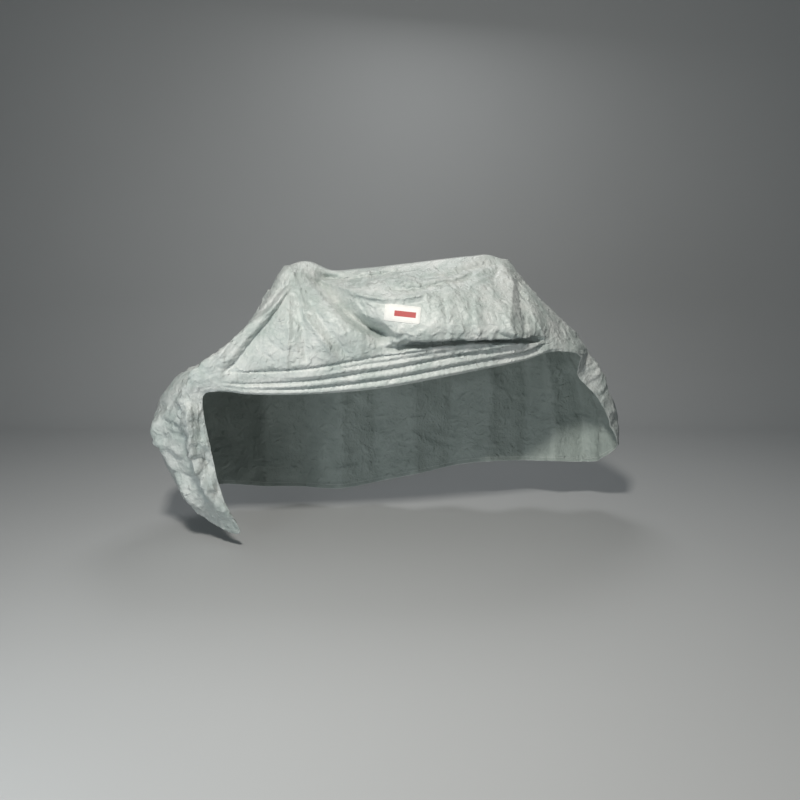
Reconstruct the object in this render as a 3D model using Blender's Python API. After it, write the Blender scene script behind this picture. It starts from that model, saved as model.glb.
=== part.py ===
"""Fitted bicycle cover, partly drawn over a load that is left out, with its blank label patch.

The cover is one sheet. Columns climb it from the hem to the ridge, and each is a smooth curve through
its section's hem, skirt, waist and shoulder points. Folds, pleats and the pouch move that surface.
X runs along the cover, Y away from the side that bears the label, and Z is up.
"""

import bpy
import numpy as np
from mathutils import Vector
from mathutils.bvhtree import BVHTree

CM = 0.01

# Sheet. The hem holds a cord, so it is a little thicker than the cloth above it.
CLOTH_THICK = 0.0020
LEAST_LEAN = 0.6
HEM_THICK = 0.0045
HEM_TALL = 0.020
HEM_FADE = 1.6

# Sections are measured from the ground under the load; the finished part is measured from this place,
# on the underside of the ridge, where the load holds the cover up.
REST_POINT = (0.00, 0.07, 0.9596)

# Mesh: columns counted round the hem against turn, closest where the folds are finest, and rows from
# the hem up to the skirt and from there to the ridge. Folds and pleats are widened and lowered by
# these widths, in cm, so that the mesh can carry them.
COLUMN_TURNS = ((0, 0.0), (14, 0.1), (60, 0.43), (66, 0.5), (73, 0.61), (87, 0.88), (96, 1.0))
ROWS_BELOW_SKIRT = 12
ROWS_ABOVE_SKIRT = 16
FOLD_BLUR = 2.2
PLEAT_BLUR = 0.8

# Height up a column, as a share of it, of the section points below.
HEM, SKIRT, WAIST, SHOULDER, RIDGE = 0.0, 0.20, 0.42, 0.72, 1.0

# Sections, in cm: place round the hem (0 left end, 0.25 near side, 0.5 right end, 0.75 far side),
# then x, y, z of the column at the hem, skirt, waist and shoulder.
SECTIONS = (
    # turn    hem             skirt            waist            shoulder
    (0.000, (-78, 0, 6), (-88, 1, 24), (-88, 0, 45), (-58, 0, 71)),
    (0.022, (-69, -8, 1.5), (-80, -9, 20), (-85, -10, 45), (-57.5, -4, 71)),
    (0.040, (-57.5, -15, 0.5), (-69, -17, 17), (-79, -18, 44), (-56.5, -7.5, 71.5)),
    (0.057, (-62.5, -17, 14), (-70, -20, 27), (-75, -21, 47), (-55, -11, 72)),
    (0.076, (-65.5, -20, 34), (-70.5, -23, 39), (-74, -23.5, 50), (-53.5, -15, 73)),
    (0.095, (-66, -23.5, 51.5), (-69, -25.5, 55), (-68, -25.5, 61), (-51.5, -18, 75)),
    (0.108, (-61.5, -24, 53.2), (-62.5, -26, 58.5), (-60, -25.5, 65), (-48, -19, 78)),
    (0.130, (-52, -22, 52.2), (-51.5, -24, 59.5), (-48.5, -24, 68), (-42, -18.5, 82)),
    (0.180, (-32, -19, 51.6), (-31, -22.5, 61), (-30, -23.5, 70), (-33, -18, 82.5)),
    (0.240, (-6, -17, 53.4), (-6, -20, 65), (-7, -22, 75), (-13, -17, 85)),
    (0.300, (20, -14, 57.8), (19, -17, 67.5), (17, -19.5, 77), (10, -13.5, 88)),
    (0.360, (43, -9.5, 62), (42, -12.5, 67.8), (40, -14.5, 76), (35, -7, 88)),
    (0.405, (57.5, -5, 65), (56, -5.5, 68), (52, -5, 76), (45, -1, 87)),
    (0.430, (67, 1, 62.5), (66, 1.5, 66), (60, 3, 73), (50, 4, 85)),
    (0.452, (68, 9, 54.5), (71, 8.5, 61), (66, 8, 70), (52, 8, 84)),
    (0.476, (77, 12.5, 45.5), (77.5, 13, 55), (70, 13, 67), (54, 11, 82)),
    (0.505, (87, 20, 28), (85.5, 20.5, 41), (74, 20, 59), (56, 17, 79)),
    (0.545, (86, 32, 16), (85, 33, 36), (75, 31.5, 56), (56, 27, 77)),
    (0.610, (64, 37, 14), (64, 41, 36), (60, 40.5, 58), (50, 33, 80)),
    (0.690, (32, 38, 13), (33, 43, 36), (33, 44, 60), (30, 36, 84)),
    (0.760, (3, 38, 7), (4, 44, 32), (4, 45, 58), (0, 37, 82)),
    (0.830, (-27, 38, 1.5), (-26, 43, 27), (-24, 44, 54), (-25, 36, 80)),
    (0.890, (-54, 36, 3), (-54, 40, 26), (-50, 40, 52), (-40, 32, 78)),
    (0.940, (-76, 27, 6), (-79, 29, 26), (-77, 28, 50), (-52, 22, 74)),
    (0.972, (-82, 12, 8), (-88, 14, 26), (-87, 13, 48), (-57, 10, 72)),
)

# Ridge, in cm: share of its length, x, y, z. It dips between the two high places that it rests on.
RIDGE_LINE = (
    (0.00, -38.0, 1.0, 95.0),
    (0.05, -34.5, 3.0, 96.6),
    (0.17, -25.0, 5.0, 93.6),
    (0.30, -15.0, 6.0, 94.2),
    (0.55, 2.0, 7.0, 96.0),
    (0.85, 27.0, 9.0, 98.9),
    (0.94, 33.0, 10.0, 99.3),
    (1.00, 37.5, 10.0, 98.0),
)
RIDGE_HALF_WIDTH = 0.028
RIDGE_CROWN = 0.004

# Share of the ridge that a column reaches, by its turn from the left end. The near columns of the left
# half lean toward the peak, as the folds there do, and those of the far side stand upright.
RIDGE_REACH = (
    # turn, near side, far side
    (0.00, 0.00, 0.00),
    (0.11, 0.00, 0.00),
    (0.18, 0.05, 0.10),
    (0.24, 0.22, 0.36),
    (0.30, 0.54, 0.65),
    (0.36, 0.87, 0.90),
    (0.41, 1.00, 1.00),
)
LEFT_END_TURN = 0.11
RIGHT_END_TURN = 0.09

# Where the cloth is drawn up to a peak, in cm: place, pull, reach.
PEAK = (-38, -5, 94)
PEAK_PULL = (-1.5, -6.5, 0.5)
PEAK_REACH = 6.5

# Pouch over the gathered hem, in cm: height up the column, move outward, move up. The third row is
# the gap behind the pouch's lower edge. Its strength along x is a flat top with eased ends.
POUCH = (
    (0.150, 0.0, 0.0),
    (0.200, 0.6, 0.2),
    (0.235, -3.2, 1.0),
    (0.275, 1.2, -0.3),
    (0.330, 3.0, -1.2),
    (0.480, 1.6, 0.0),
    (0.700, 0.0, 0.0),
)
POUCH_FROM, POUCH_FULL_FROM, POUCH_FULL_TO, POUCH_TO = -10.0, 3.0, 38.0, 56.0
POUCH_FACING = (0.1, 0.4)

# Long pleats that the hem cord draws in along the near side, in cm: height above the hem at the left
# corner, at mid length and at the right end, width, depth (a trough is negative).
PLEATS = (
    (0.8, 1.6, 1.4, 1.0, 0.9),
    (1.5, 4.0, 4.1, 0.6, -1.0),
    (2.4, 5.5, 5.4, 0.8, 0.8),
    (3.2, 7.2, 7.6, 0.6, -0.9),
    (4.6, 8.7, 8.6, 0.9, 0.6),
    (6.2, 10.2, 9.8, 0.7, -0.6),
)
PLEATS_FROM, PLEATS_TO = 0.098, 0.415
PLEATS_MIDDLE = 0.4
PLEAT_RISE, PLEAT_END = (0.0, 0.08), (0.88, 1.0)

# How much of a fold shows: by its place along it, as it rises and as it ends, and by how far the cloth
# faces the front on the near side and on the left end.
FOLD_RISE, FOLD_END = (-0.02, 0.18), (0.72, 1.04)
NEAR_FACING, LEFT_FACING = (0.05, 0.35), (-0.05, 0.30)

# Folds of the near side, in cm, seen from the front: x, z of the two ends, bow, width at each end, and
# height at the middle (a trough is negative). Those of the upper left radiate from the peak.
NEAR_FOLDS = (
    # x0, z0, x1, z1, bow, width0, width1, height
    (-36.0, 92.0, -64.5, 58.0, 0.3, 1.0, 1.8, 2.2),
    (-34.5, 90.0, -60.0, 57.5, -0.5, 0.8, 1.6, -2.0),
    (-37.5, 88.0, -37.0, 61.0, 0.0, 0.9, 1.4, 0.8),
    (-34.5, 88.0, -31.0, 61.0, 0.4, 1.4, 3.2, -1.6),
    (-34.0, 90.5, -20.0, 62.5, 2.6, 0.9, 2.2, 2.0),
    (-30.5, 84.0, -16.0, 63.0, 1.5, 1.2, 2.4, -0.9),
    (-33.0, 91.0, -6.0, 69.5, 3.0, 1.2, 3.0, 2.2),
    (-32.0, 91.5, -1.0, 73.5, 0.0, 1.2, 4.2, -3.4),
    (-16.0, 84.0, -8.0, 77.5, 1.0, 0.9, 1.2, 0.9),
    (-32.5, 93.0, 6.0, 83.0, 2.3, 0.9, 1.5, 2.2),
    (-4.0, 83.5, 27.0, 91.5, 1.9, 1.0, 1.4, 1.3),
    (-12.0, 86.5, 26.0, 92.5, 1.6, 0.9, 1.1, -1.0),
    (0.0, 88.5, 31.0, 94.5, 1.0, 1.0, 1.0, 0.8),
    (5.0, 91.0, 35.0, 97.0, 0.4, 0.9, 1.0, -0.9),
    (-31.0, 93.2, 3.0, 94.0, 0.8, 1.1, 1.4, -1.2),
    (35.0, 98.0, 37.5, 73.0, -1.6, 1.3, 2.0, 1.8),
    (39.0, 95.0, 43.0, 73.0, -0.6, 1.2, 2.4, -1.8),
    (45.5, 80.5, 50.5, 68.5, 0.3, 1.2, 1.5, 1.0),
    (44.0, 85.5, 52.0, 78.0, 0.3, 0.9, 1.0, -1.0),
    (34.0, 73.5, 42.0, 69.0, 0.2, 1.0, 1.3, -0.9),
    (-8.0, 84.0, -1.0, 71.5, 0.8, 0.9, 1.2, 1.4),
    (14.0, 83.0, 15.0, 71.0, 0.8, 1.4, 2.0, -0.7),
    (26.0, 86.0, 27.0, 71.0, -0.8, 1.4, 2.4, 0.7),
)

# Folds of the hanging left end, in the same columns, and the x in cm at which they begin and are whole.
LEFT_FOLDS_X = (-58.0, -70.0)
LEFT_FOLDS = (
    (-75.5, 52.0, -69.5, 15.0, 2.5, 1.3, 1.4, -3.6),
    (-72.0, 50.0, -61.5, 7.0, 1.5, 1.8, 1.6, 1.9),
    (-81.5, 41.0, -69.0, 10.0, 1.8, 1.9, 1.7, 1.5),
    (-74.0, 31.0, -70.0, 15.0, 0.3, 0.8, 0.9, -1.2),
    (-88.0, 44.5, -76.0, 41.0, 0.5, 1.2, 1.4, -1.6),
    (-88.0, 34.0, -76.0, 28.0, -0.6, 1.2, 1.2, 0.9),
    (-84.0, 25.0, -73.0, 18.0, 0.6, 1.1, 1.1, -0.9),
    (-84.0, 57.0, -68.0, 55.0, 0.5, 1.2, 1.4, 1.2),
    (-82.0, 52.0, -64.0, 59.0, 0.5, 1.2, 1.2, -1.4),
    (-74.0, 60.0, -50.0, 79.0, 0.8, 1.4, 1.4, -1.0),
)

# Falls of the two ends and the far side: turn at the hem and at the ridge, width in turns, depth in cm
# (a valley is negative), and the height up the column where the fall dies out. It starts to fade at
# this share of that height.
FALL_FADE = 0.6
FALLS = (
    (0.987, 0.985, 0.011, 1.6, 0.50),
    (0.962, 0.965, 0.012, -2.2, 0.60),
    (0.930, 0.935, 0.014, 2.4, 0.75),
    (0.893, 0.905, 0.013, -2.0, 0.80),
    (0.862, 0.870, 0.014, 2.6, 0.90),
    (0.822, 0.845, 0.015, -2.4, 0.92),
    (0.790, 0.810, 0.013, 1.8, 0.85),
    (0.752, 0.765, 0.015, -2.0, 0.90),
    (0.716, 0.715, 0.014, 2.4, 0.92),
    (0.672, 0.670, 0.016, -2.4, 0.90),
    (0.636, 0.625, 0.013, 2.0, 0.85),
    (0.604, 0.600, 0.013, -2.2, 0.80),
    (0.571, 0.575, 0.012, 2.0, 0.80),
    (0.543, 0.555, 0.010, -1.4, 0.70),
    (0.514, 0.525, 0.010, 1.2, 0.65),
)

# Puffs, in cm: x, y, z, radius, height.
PUFFS = (
    (-79, -6, 57, 7.0, 3.2),
    (-86, -4, 38, 6.0, 1.6),
    (-60, -14, 66, 8.0, -1.6),
    (12, -20, 80, 9.0, 0.8),
)

# All of these fade out from this height up the column, so that the ridge stays a clean line.
RIDGE_CALM = 0.93

# Label patch: centre in x and z, size, tilt clockwise in degrees, and its gap off the cloth.
LABEL_CENTRE = (0.008, 0.789)
LABEL_SIZE = (0.120, 0.056)
LABEL_TILT = 6.0
LABEL_THICK = 0.0010
LABEL_GAP = 0.0010
LABEL_CELLS = (14, 7)
LABEL_CALM = 0.9
LABEL_SIGHT = 2.0

CLOTH_COLOUR, CLOTH_ROUGHNESS = (0.50, 0.58, 0.56, 1.0), 0.55
LABEL_COLOUR, LABEL_ROUGHNESS = (0.90, 0.90, 0.88, 1.0), 0.45


def clear_scene():
    """Remove every object of the startup scene."""
    for obj in list(bpy.data.objects):
        bpy.data.objects.remove(obj, do_unlink=True)


def eased(value, low, high):
    """0 below low and 1 above high, with a smooth step between."""
    share = np.clip((value - low) / (high - low), 0.0, 1.0)
    return share * share * (3.0 - 2.0 * share)


def through(knots, values, at, loop=False):
    """Smooth curve through the values at the knots. A loop meets its start again one turn on."""
    knots = np.asarray(knots, float)
    values = np.asarray(values, float)
    if loop:
        knots = np.concatenate([knots[-2:] - 1.0, knots, knots[:2] + 1.0])
        values = np.concatenate([values[-2:], values, values[:2]])
    step = np.diff(knots)[:, None]
    rise = np.diff(values, axis=0) / step
    slope = np.concatenate(
        [rise[:1], (rise[:-1] * step[1:] + rise[1:] * step[:-1]) / (step[1:] + step[:-1]), rise[-1:]]
    )
    left = np.clip(np.searchsorted(knots, at, side="right") - 1, 0, len(step) - 1)
    share = (np.asarray(at) - knots[left])[:, None] / step[left]
    back = 1.0 - share
    start = back * back * (1.0 + 2.0 * share) * values[left]
    finish = share * share * (3.0 - 2.0 * share) * values[left + 1]
    bends = share * back * (back * slope[left] - share * slope[left + 1]) * step[left]
    return start + finish + bends


def ridge_loop(turns):
    """Narrow loop round the ridge that the columns end on, with its two ends round."""
    nearer = np.minimum(turns, 1.0 - turns)
    near_side = turns < 0.5
    reach = np.array(RIDGE_REACH)
    near_share = np.interp(nearer, reach[:, 0], reach[:, 1])
    far_share = np.interp(nearer, reach[:, 0], reach[:, 2])
    share = np.where(near_side, near_share, far_share)
    line = np.array(RIDGE_LINE)
    points = through(line[:, 0], line[:, 1:] * CM, share)
    left = np.clip(nearer / LEFT_END_TURN, 0.0, 1.0)
    right = np.clip((nearer - 0.5 + RIGHT_END_TURN) / RIGHT_END_TURN, 0.0, 1.0)
    angle = 0.5 * np.pi * (left + right)
    side = np.where(near_side, -1.0, 1.0)
    points[:, 0] -= RIDGE_HALF_WIDTH * np.cos(angle)
    points[:, 1] += RIDGE_HALF_WIDTH * np.sin(angle) * side
    return points


def section_surface(turns, heights):
    """Points of the plain surface, one row per turn and one column per height."""
    knots = [row[0] for row in SECTIONS]
    rings = []
    for place in (1, 2, 3, 4):
        ring = np.array([row[place] for row in SECTIONS]) * CM
        rings.append(through(knots, ring, turns, loop=True))
    rings.append(ridge_loop(turns))
    flat = np.array(rings).reshape(5, -1)
    curves = through((HEM, SKIRT, WAIST, SHOULDER, RIDGE), flat, heights)
    return curves.reshape(len(heights), len(turns), 3).transpose(1, 0, 2)


def outward(points):
    """Unit normals of the surface, pointing out of the cover."""
    round_it = np.roll(points, -1, axis=0) - np.roll(points, 1, axis=0)
    up_it = np.gradient(points, axis=1)
    normal = np.cross(round_it, up_it)
    return normal / np.linalg.norm(normal, axis=2, keepdims=True)


def add_pouch(points, heights):
    """Let the near side hang over its gathered hem as a shallow pouch with a gap under it."""
    table = np.array(POUCH)
    moves = through(table[:, 0], table[:, 1:] * CM, np.clip(heights, table[0, 0], table[-1, 0]))
    x = points[:, :, 0] / CM
    strength = eased(x, POUCH_FROM, POUCH_FULL_FROM) * (1.0 - eased(x, POUCH_FULL_TO, POUCH_TO))
    strength = strength * eased(-outward(points)[:, :, 1], *POUCH_FACING)
    moved = points.copy()
    moved[:, :, 1] -= moves[None, :, 0] * strength
    moved[:, :, 2] += moves[None, :, 1] * strength
    return moved


def add_peak(points):
    """Draw the cloth to a peak where it is held."""
    distance = np.linalg.norm(points - np.array(PEAK) * CM, axis=2, keepdims=True)
    return points + np.array(PEAK_PULL) * CM * np.exp(-distance / (PEAK_REACH * CM))


def blurred(width, height, blur):
    """Width and height of a fold after the mesh has smoothed it, with its cross-section kept."""
    wider = np.hypot(width, blur)
    return wider, height * width / wider


def fold_height(points, folds):
    """Height in metres that the folds add at each point, from its place in the front view."""
    x, z = points[:, :, 0] / CM, points[:, :, 2] / CM
    total = np.zeros_like(x)
    for x0, z0, x1, z1, bow, width0, width1, height in folds:
        length = np.hypot(x1 - x0, z1 - z0)
        along = ((x - x0) * (x1 - x0) + (z - z0) * (z1 - z0)) / length**2
        across = ((z - z0) * (x1 - x0) - (x - x0) * (z1 - z0)) / length
        share = np.clip(along, 0.0, 1.0)
        off = across + bow * 4.0 * share * (1.0 - share)
        width, depth = blurred(width0 + (width1 - width0) * share, height, FOLD_BLUR)
        ends = eased(along, *FOLD_RISE) * (1.0 - eased(along, *FOLD_END))
        total += depth * np.exp(-((off / width) ** 2)) * ends
    return total * CM


def pleat_height(turns, heights, points):
    """Height in metres of the long pleats above the near hem."""
    steps = np.linalg.norm(np.diff(points, axis=1), axis=2)
    above = np.concatenate([np.zeros((len(turns), 1)), np.cumsum(steps, axis=1)], axis=1) / CM
    share = np.clip((turns - PLEATS_FROM) / (PLEATS_TO - PLEATS_FROM), 0.0, 1.0)[:, None]
    ends = eased(share, *PLEAT_RISE) * (1.0 - eased(share, *PLEAT_END))
    total = np.zeros_like(above)
    for left, middle, right, width, depth in PLEATS:
        width, depth = blurred(width, depth, PLEAT_BLUR)
        off = above - np.interp(share, (0.0, PLEATS_MIDDLE, 1.0), (left, middle, right))
        total += depth * np.exp(-((off / width) ** 2)) * ends
    return total * CM * (heights[None, :] < WAIST)


def fall_height(turns, heights):
    """Height in metres of the falls round the ends and the far side."""
    total = np.zeros((len(turns), len(heights)))
    for low, high, width, depth, top in FALLS:
        middle = low + (high - low) * heights
        off = (turns[:, None] - middle + 0.5) % 1.0 - 0.5
        total += depth * np.exp(-((off / width) ** 2)) * (1.0 - eased(heights, FALL_FADE * top, top))
    return total * CM


def label_nearness(points):
    """1 at the label's centre, falling to 0 past its edges: the cloth lies calmer there."""
    x = (points[:, :, 0] - LABEL_CENTRE[0]) / LABEL_SIZE[0]
    z = (points[:, :, 2] - LABEL_CENTRE[1]) / LABEL_SIZE[1]
    return np.exp(-((x * x + z * z) ** 2)) * (points[:, :, 1] < 0.0)


def puff_height(points):
    """Height in metres of the soft puffs."""
    total = np.zeros(points.shape[:2])
    for x, y, z, radius, height in PUFFS:
        distance = np.linalg.norm(points / CM - np.array((x, y, z)), axis=2)
        total += height * np.exp(-((distance / radius) ** 2))
    return total * CM


def cover_surface(turns, heights):
    """Outer surface of the cover with its pouch, peak, folds, pleats and puffs, and its way through.

    The way through is the plain surface's normal, which never crosses itself in a tight fold. It is
    longer where a fold leans, so that the sheet keeps its thickness there.
    """
    plain = section_surface(turns, heights)
    points = add_peak(add_pouch(plain, heights))
    normal = outward(points)
    facing = -normal[:, :, 1]
    left_end = eased(-points[:, :, 0] / CM, -LEFT_FOLDS_X[0], -LEFT_FOLDS_X[1])
    height = fold_height(points, NEAR_FOLDS) * eased(facing, *NEAR_FACING)
    height += fold_height(points, LEFT_FOLDS) * eased(facing, *LEFT_FACING) * left_end
    height += fall_height(turns, heights) + pleat_height(turns, heights, points) + puff_height(points)
    height *= 1.0 - LABEL_CALM * label_nearness(points)
    height *= 1.0 - eased(heights, RIDGE_CALM, RIDGE)[None, :]
    points = points + normal * height[:, :, None]
    through_it = outward(plain)
    lean = np.sum(through_it * outward(points), axis=2, keepdims=True)
    return points, through_it / np.maximum(lean, LEAST_LEAN)


def column_heights(density):
    """Heights of the mesh rows: close together below the skirt, wider above it."""
    below = np.linspace(HEM, SKIRT, density * ROWS_BELOW_SKIRT, endpoint=False)
    above = np.linspace(SKIRT, RIDGE, density * ROWS_ABOVE_SKIRT + 1)
    return np.concatenate([below, above])


def column_turns(step):
    """Turns of the mesh columns, one for each step along the table's count."""
    table = np.array(COLUMN_TURNS)
    return np.interp(np.arange(0.0, table[-1, 0], step), table[:, 0], table[:, 1])


def strip(first, second, first_place, second_place):
    """Triangles between two rows of vertices that run the same way, matched by their places."""
    i, j = 0, 0
    faces = []
    while i < len(first) - 1 or j < len(second) - 1:
        last_i, last_j = i == len(first) - 1, j == len(second) - 1
        if last_j or (not last_i and first_place[i + 1] <= second_place[j + 1]):
            faces.append((first[i], first[i + 1], second[j]))
            i += 1
        else:
            faces.append((first[i], second[j + 1], second[j]))
            j += 1
    return faces


def rising_cells(fine):
    """Which cells of the mesh are cut along their rising diagonal: those whose middle lies nearer to it.

    The surface comes at twice the mesh's density, so each cell's true middle is known.
    """
    low_left = fine[::2, :-1:2]
    low_right = np.roll(low_left, -1, axis=0)
    high_left = fine[::2, 2::2]
    high_right = np.roll(high_left, -1, axis=0)
    middle = fine[1::2, 1::2]
    rising = np.linalg.norm(0.5 * (low_left + high_right) - middle, axis=2)
    falling = np.linalg.norm(0.5 * (low_right + high_left) - middle, axis=2)
    return rising <= falling


def sheet_faces(rising, near_count, ridge_x, offset, flip):
    """Triangles of one side of the sheet: cells up to the ridge loop, then strips that close it."""
    columns, rows = rising.shape[0], rising.shape[1] + 1
    i, j = np.meshgrid(np.arange(columns), np.arange(rows - 1), indexing="ij")
    k = (i + 1) % columns
    low_left, low_right = i * rows + j, k * rows + j
    high_left, high_right = low_left + 1, low_right + 1
    first = np.stack([low_left, low_right, np.where(rising, high_right, high_left)], axis=2)
    second = np.stack([np.where(rising, low_left, low_right), high_right, high_left], axis=2)
    cells = np.concatenate([first.reshape(-1, 3), second.reshape(-1, 3)]) + offset
    faces = [tuple(cell) for cell in cells]
    loop = np.arange(columns) * rows + rows - 1 + offset
    middle = np.arange(near_count - 1) + columns * rows + offset
    middle_x = ridge_x[1:near_count]
    near = loop[1:near_count]
    far = loop[:near_count:-1]
    faces += strip(near, middle, middle_x, middle_x)
    faces += [face[::-1] for face in strip(far, middle, ridge_x[:near_count:-1], middle_x)]
    faces.append((loop[0], near[0], middle[0]))
    faces.append((far[0], loop[0], middle[0]))
    faces.append((near[-1], loop[near_count], middle[-1]))
    faces.append((loop[near_count], far[-1], middle[-1]))
    return [face[::-1] for face in faces] if flip else faces


def ridge_middle(loop, near_count):
    """Points along the middle of the ridge, one for each near column, a little above the loop."""
    near = loop[1:near_count]
    far = loop[:near_count:-1]
    opposite = np.stack([np.interp(near[:, 0], far[:, 0], far[:, axis]) for axis in (1, 2)], axis=1)
    middle = near.copy()
    middle[:, 1:] = 0.5 * (near[:, 1:] + opposite)
    width = np.abs(near[:, 1] - opposite[:, 0]) / (2.0 * RIDGE_HALF_WIDTH)
    middle[:, 2] += RIDGE_CROWN * np.clip(width, 0.0, 1.0)
    return middle


def make_cover():
    """Vertices and faces of the whole cover: outer side, inner side and the edge between them."""
    fine, fine_through = cover_surface(column_turns(0.5), column_heights(2))
    outer, through_it = fine[::2, ::2], fine_through[::2, ::2]
    turns = column_turns(1.0)
    steps = np.linalg.norm(np.diff(outer, axis=1), axis=2)
    above = np.concatenate([np.zeros((len(turns), 1)), np.cumsum(steps, axis=1)], axis=1)
    thick = CLOTH_THICK + (HEM_THICK - CLOTH_THICK) * (1.0 - eased(above, HEM_TALL, HEM_FADE * HEM_TALL))
    inner = outer - through_it * thick[:, :, None]
    columns, rows = outer.shape[:2]
    near_count = int(np.searchsorted(turns, 0.5))
    outer_middle = ridge_middle(outer[:, -1], near_count)
    inner_middle = outer_middle - np.array((0.0, 0.0, CLOTH_THICK))
    vertices = np.concatenate([outer.reshape(-1, 3), outer_middle, inner.reshape(-1, 3), inner_middle])
    offset = columns * rows + len(outer_middle)
    ridge_x = outer[:, -1, 0]
    rising = rising_cells(fine)
    faces = sheet_faces(rising, near_count, ridge_x, 0, False)
    faces += sheet_faces(rising, near_count, ridge_x, offset, True)
    for n in range(columns):
        here, following = n * rows, ((n + 1) % columns) * rows
        faces.append((following, here, here + offset, following + offset))
    return vertices - np.array(REST_POINT), faces


def make_label(cover_vertices, cover_faces):
    """Vertices and faces of the label patch, laid on the near side just off the cloth."""
    tree = BVHTree.FromPolygons([Vector(v) for v in cover_vertices.tolist()], cover_faces)
    across, down = LABEL_CELLS
    u, v = np.meshgrid(np.linspace(-0.5, 0.5, across + 1), np.linspace(-0.5, 0.5, down + 1), indexing="ij")
    tilt = np.radians(-LABEL_TILT)
    x = LABEL_CENTRE[0] - REST_POINT[0] + LABEL_SIZE[0] * u * np.cos(tilt) - LABEL_SIZE[1] * v * np.sin(tilt)
    z = LABEL_CENTRE[1] - REST_POINT[2] + LABEL_SIZE[0] * u * np.sin(tilt) + LABEL_SIZE[1] * v * np.cos(tilt)
    backs, fronts = [], []
    for px, pz in zip(x.ravel(), z.ravel()):
        hit, normal, _, _ = tree.ray_cast(Vector((px, -LABEL_SIGHT, pz)), Vector((0.0, 1.0, 0.0)))
        if hit is None:
            raise ValueError("the label patch misses the cover")
        out = normal if normal.y < 0.0 else -normal
        backs.append(hit + out * LABEL_GAP)
        fronts.append(hit + out * (LABEL_GAP + LABEL_THICK))
    count = len(backs)
    row = down + 1
    faces = []
    for i in range(across):
        for j in range(down):
            a, b, c, d = i * row + j, (i + 1) * row + j, (i + 1) * row + j + 1, i * row + j + 1
            faces.append((a + count, b + count, c + count, d + count))
            faces.append((d, c, b, a))
    rim = [i * row for i in range(across)] + [across * row + j for j in range(down)]
    rim += [i * row + down for i in range(across, 0, -1)] + list(range(down, 0, -1))
    for here, following in zip(rim, rim[1:] + rim[:1]):
        faces.append((here, following, following + count, here + count))
    return [tuple(p) for p in backs + fronts], faces


def add_node(name, vertices, faces, colour, roughness):
    """One named mesh object with its own material."""
    mesh = bpy.data.meshes.new(name)
    mesh.from_pydata([tuple(map(float, v)) for v in vertices], [], [tuple(map(int, f)) for f in faces])
    mesh.validate()
    mesh.shade_smooth()
    material = bpy.data.materials.new(name)
    material.use_nodes = True
    shader = material.node_tree.nodes["Principled BSDF"]
    shader.inputs["Base Color"].default_value = colour
    shader.inputs["Roughness"].default_value = roughness
    mesh.materials.append(material)
    obj = bpy.data.objects.new(name, mesh)
    bpy.context.scene.collection.objects.link(obj)
    return obj


def main():
    clear_scene()
    vertices, faces = make_cover()
    add_node("cover", vertices, faces, CLOTH_COLOUR, CLOTH_ROUGHNESS)
    label_vertices, label_faces = make_label(vertices, faces)
    add_node("label_patch", label_vertices, label_faces, LABEL_COLOUR, LABEL_ROUGHNESS)


main()
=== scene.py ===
"""Fitted bicycle cover in coated cloth: the draped sheet, its hem and its blank patch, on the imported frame.

X runs along the cover, Y away from the side that bears the patch, and Z is up. Tables are in centimetres
from the ground under the load, as in the part's source, and the finished pieces are in metres.
"""

import bmesh
import bpy
import numpy as np
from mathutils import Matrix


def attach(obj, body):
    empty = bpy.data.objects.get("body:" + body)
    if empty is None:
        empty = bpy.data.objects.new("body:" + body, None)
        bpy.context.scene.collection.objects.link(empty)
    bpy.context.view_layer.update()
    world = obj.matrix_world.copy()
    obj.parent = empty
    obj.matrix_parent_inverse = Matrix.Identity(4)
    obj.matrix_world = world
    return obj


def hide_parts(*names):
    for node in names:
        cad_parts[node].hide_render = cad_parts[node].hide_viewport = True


bl_info = {
    "name": "Bicycle cover",
    "version": (1, 0, 0),
    "blender": (4, 5, 0),
    "location": "View3D > Sidebar > Cover",
    "description": "Builds a draped bicycle cover with its hem and patch, and a plain studio round it",
    "category": "Object",
}

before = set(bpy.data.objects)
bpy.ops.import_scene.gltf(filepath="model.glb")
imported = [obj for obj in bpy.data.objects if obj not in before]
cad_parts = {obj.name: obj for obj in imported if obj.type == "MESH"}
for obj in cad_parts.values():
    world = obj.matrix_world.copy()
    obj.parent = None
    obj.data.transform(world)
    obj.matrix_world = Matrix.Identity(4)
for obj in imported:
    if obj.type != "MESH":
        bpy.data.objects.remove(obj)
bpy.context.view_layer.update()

CM = 0.01
REST_POINT = np.array((0.00, 0.07, 0.9596))

# ---- The drape's tables ----

# Height up a column, as a share of it, of the section points below.
HEM, SKIRT, WAIST, SHOULDER, RIDGE = 0.0, 0.20, 0.42, 0.72, 1.0

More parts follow.
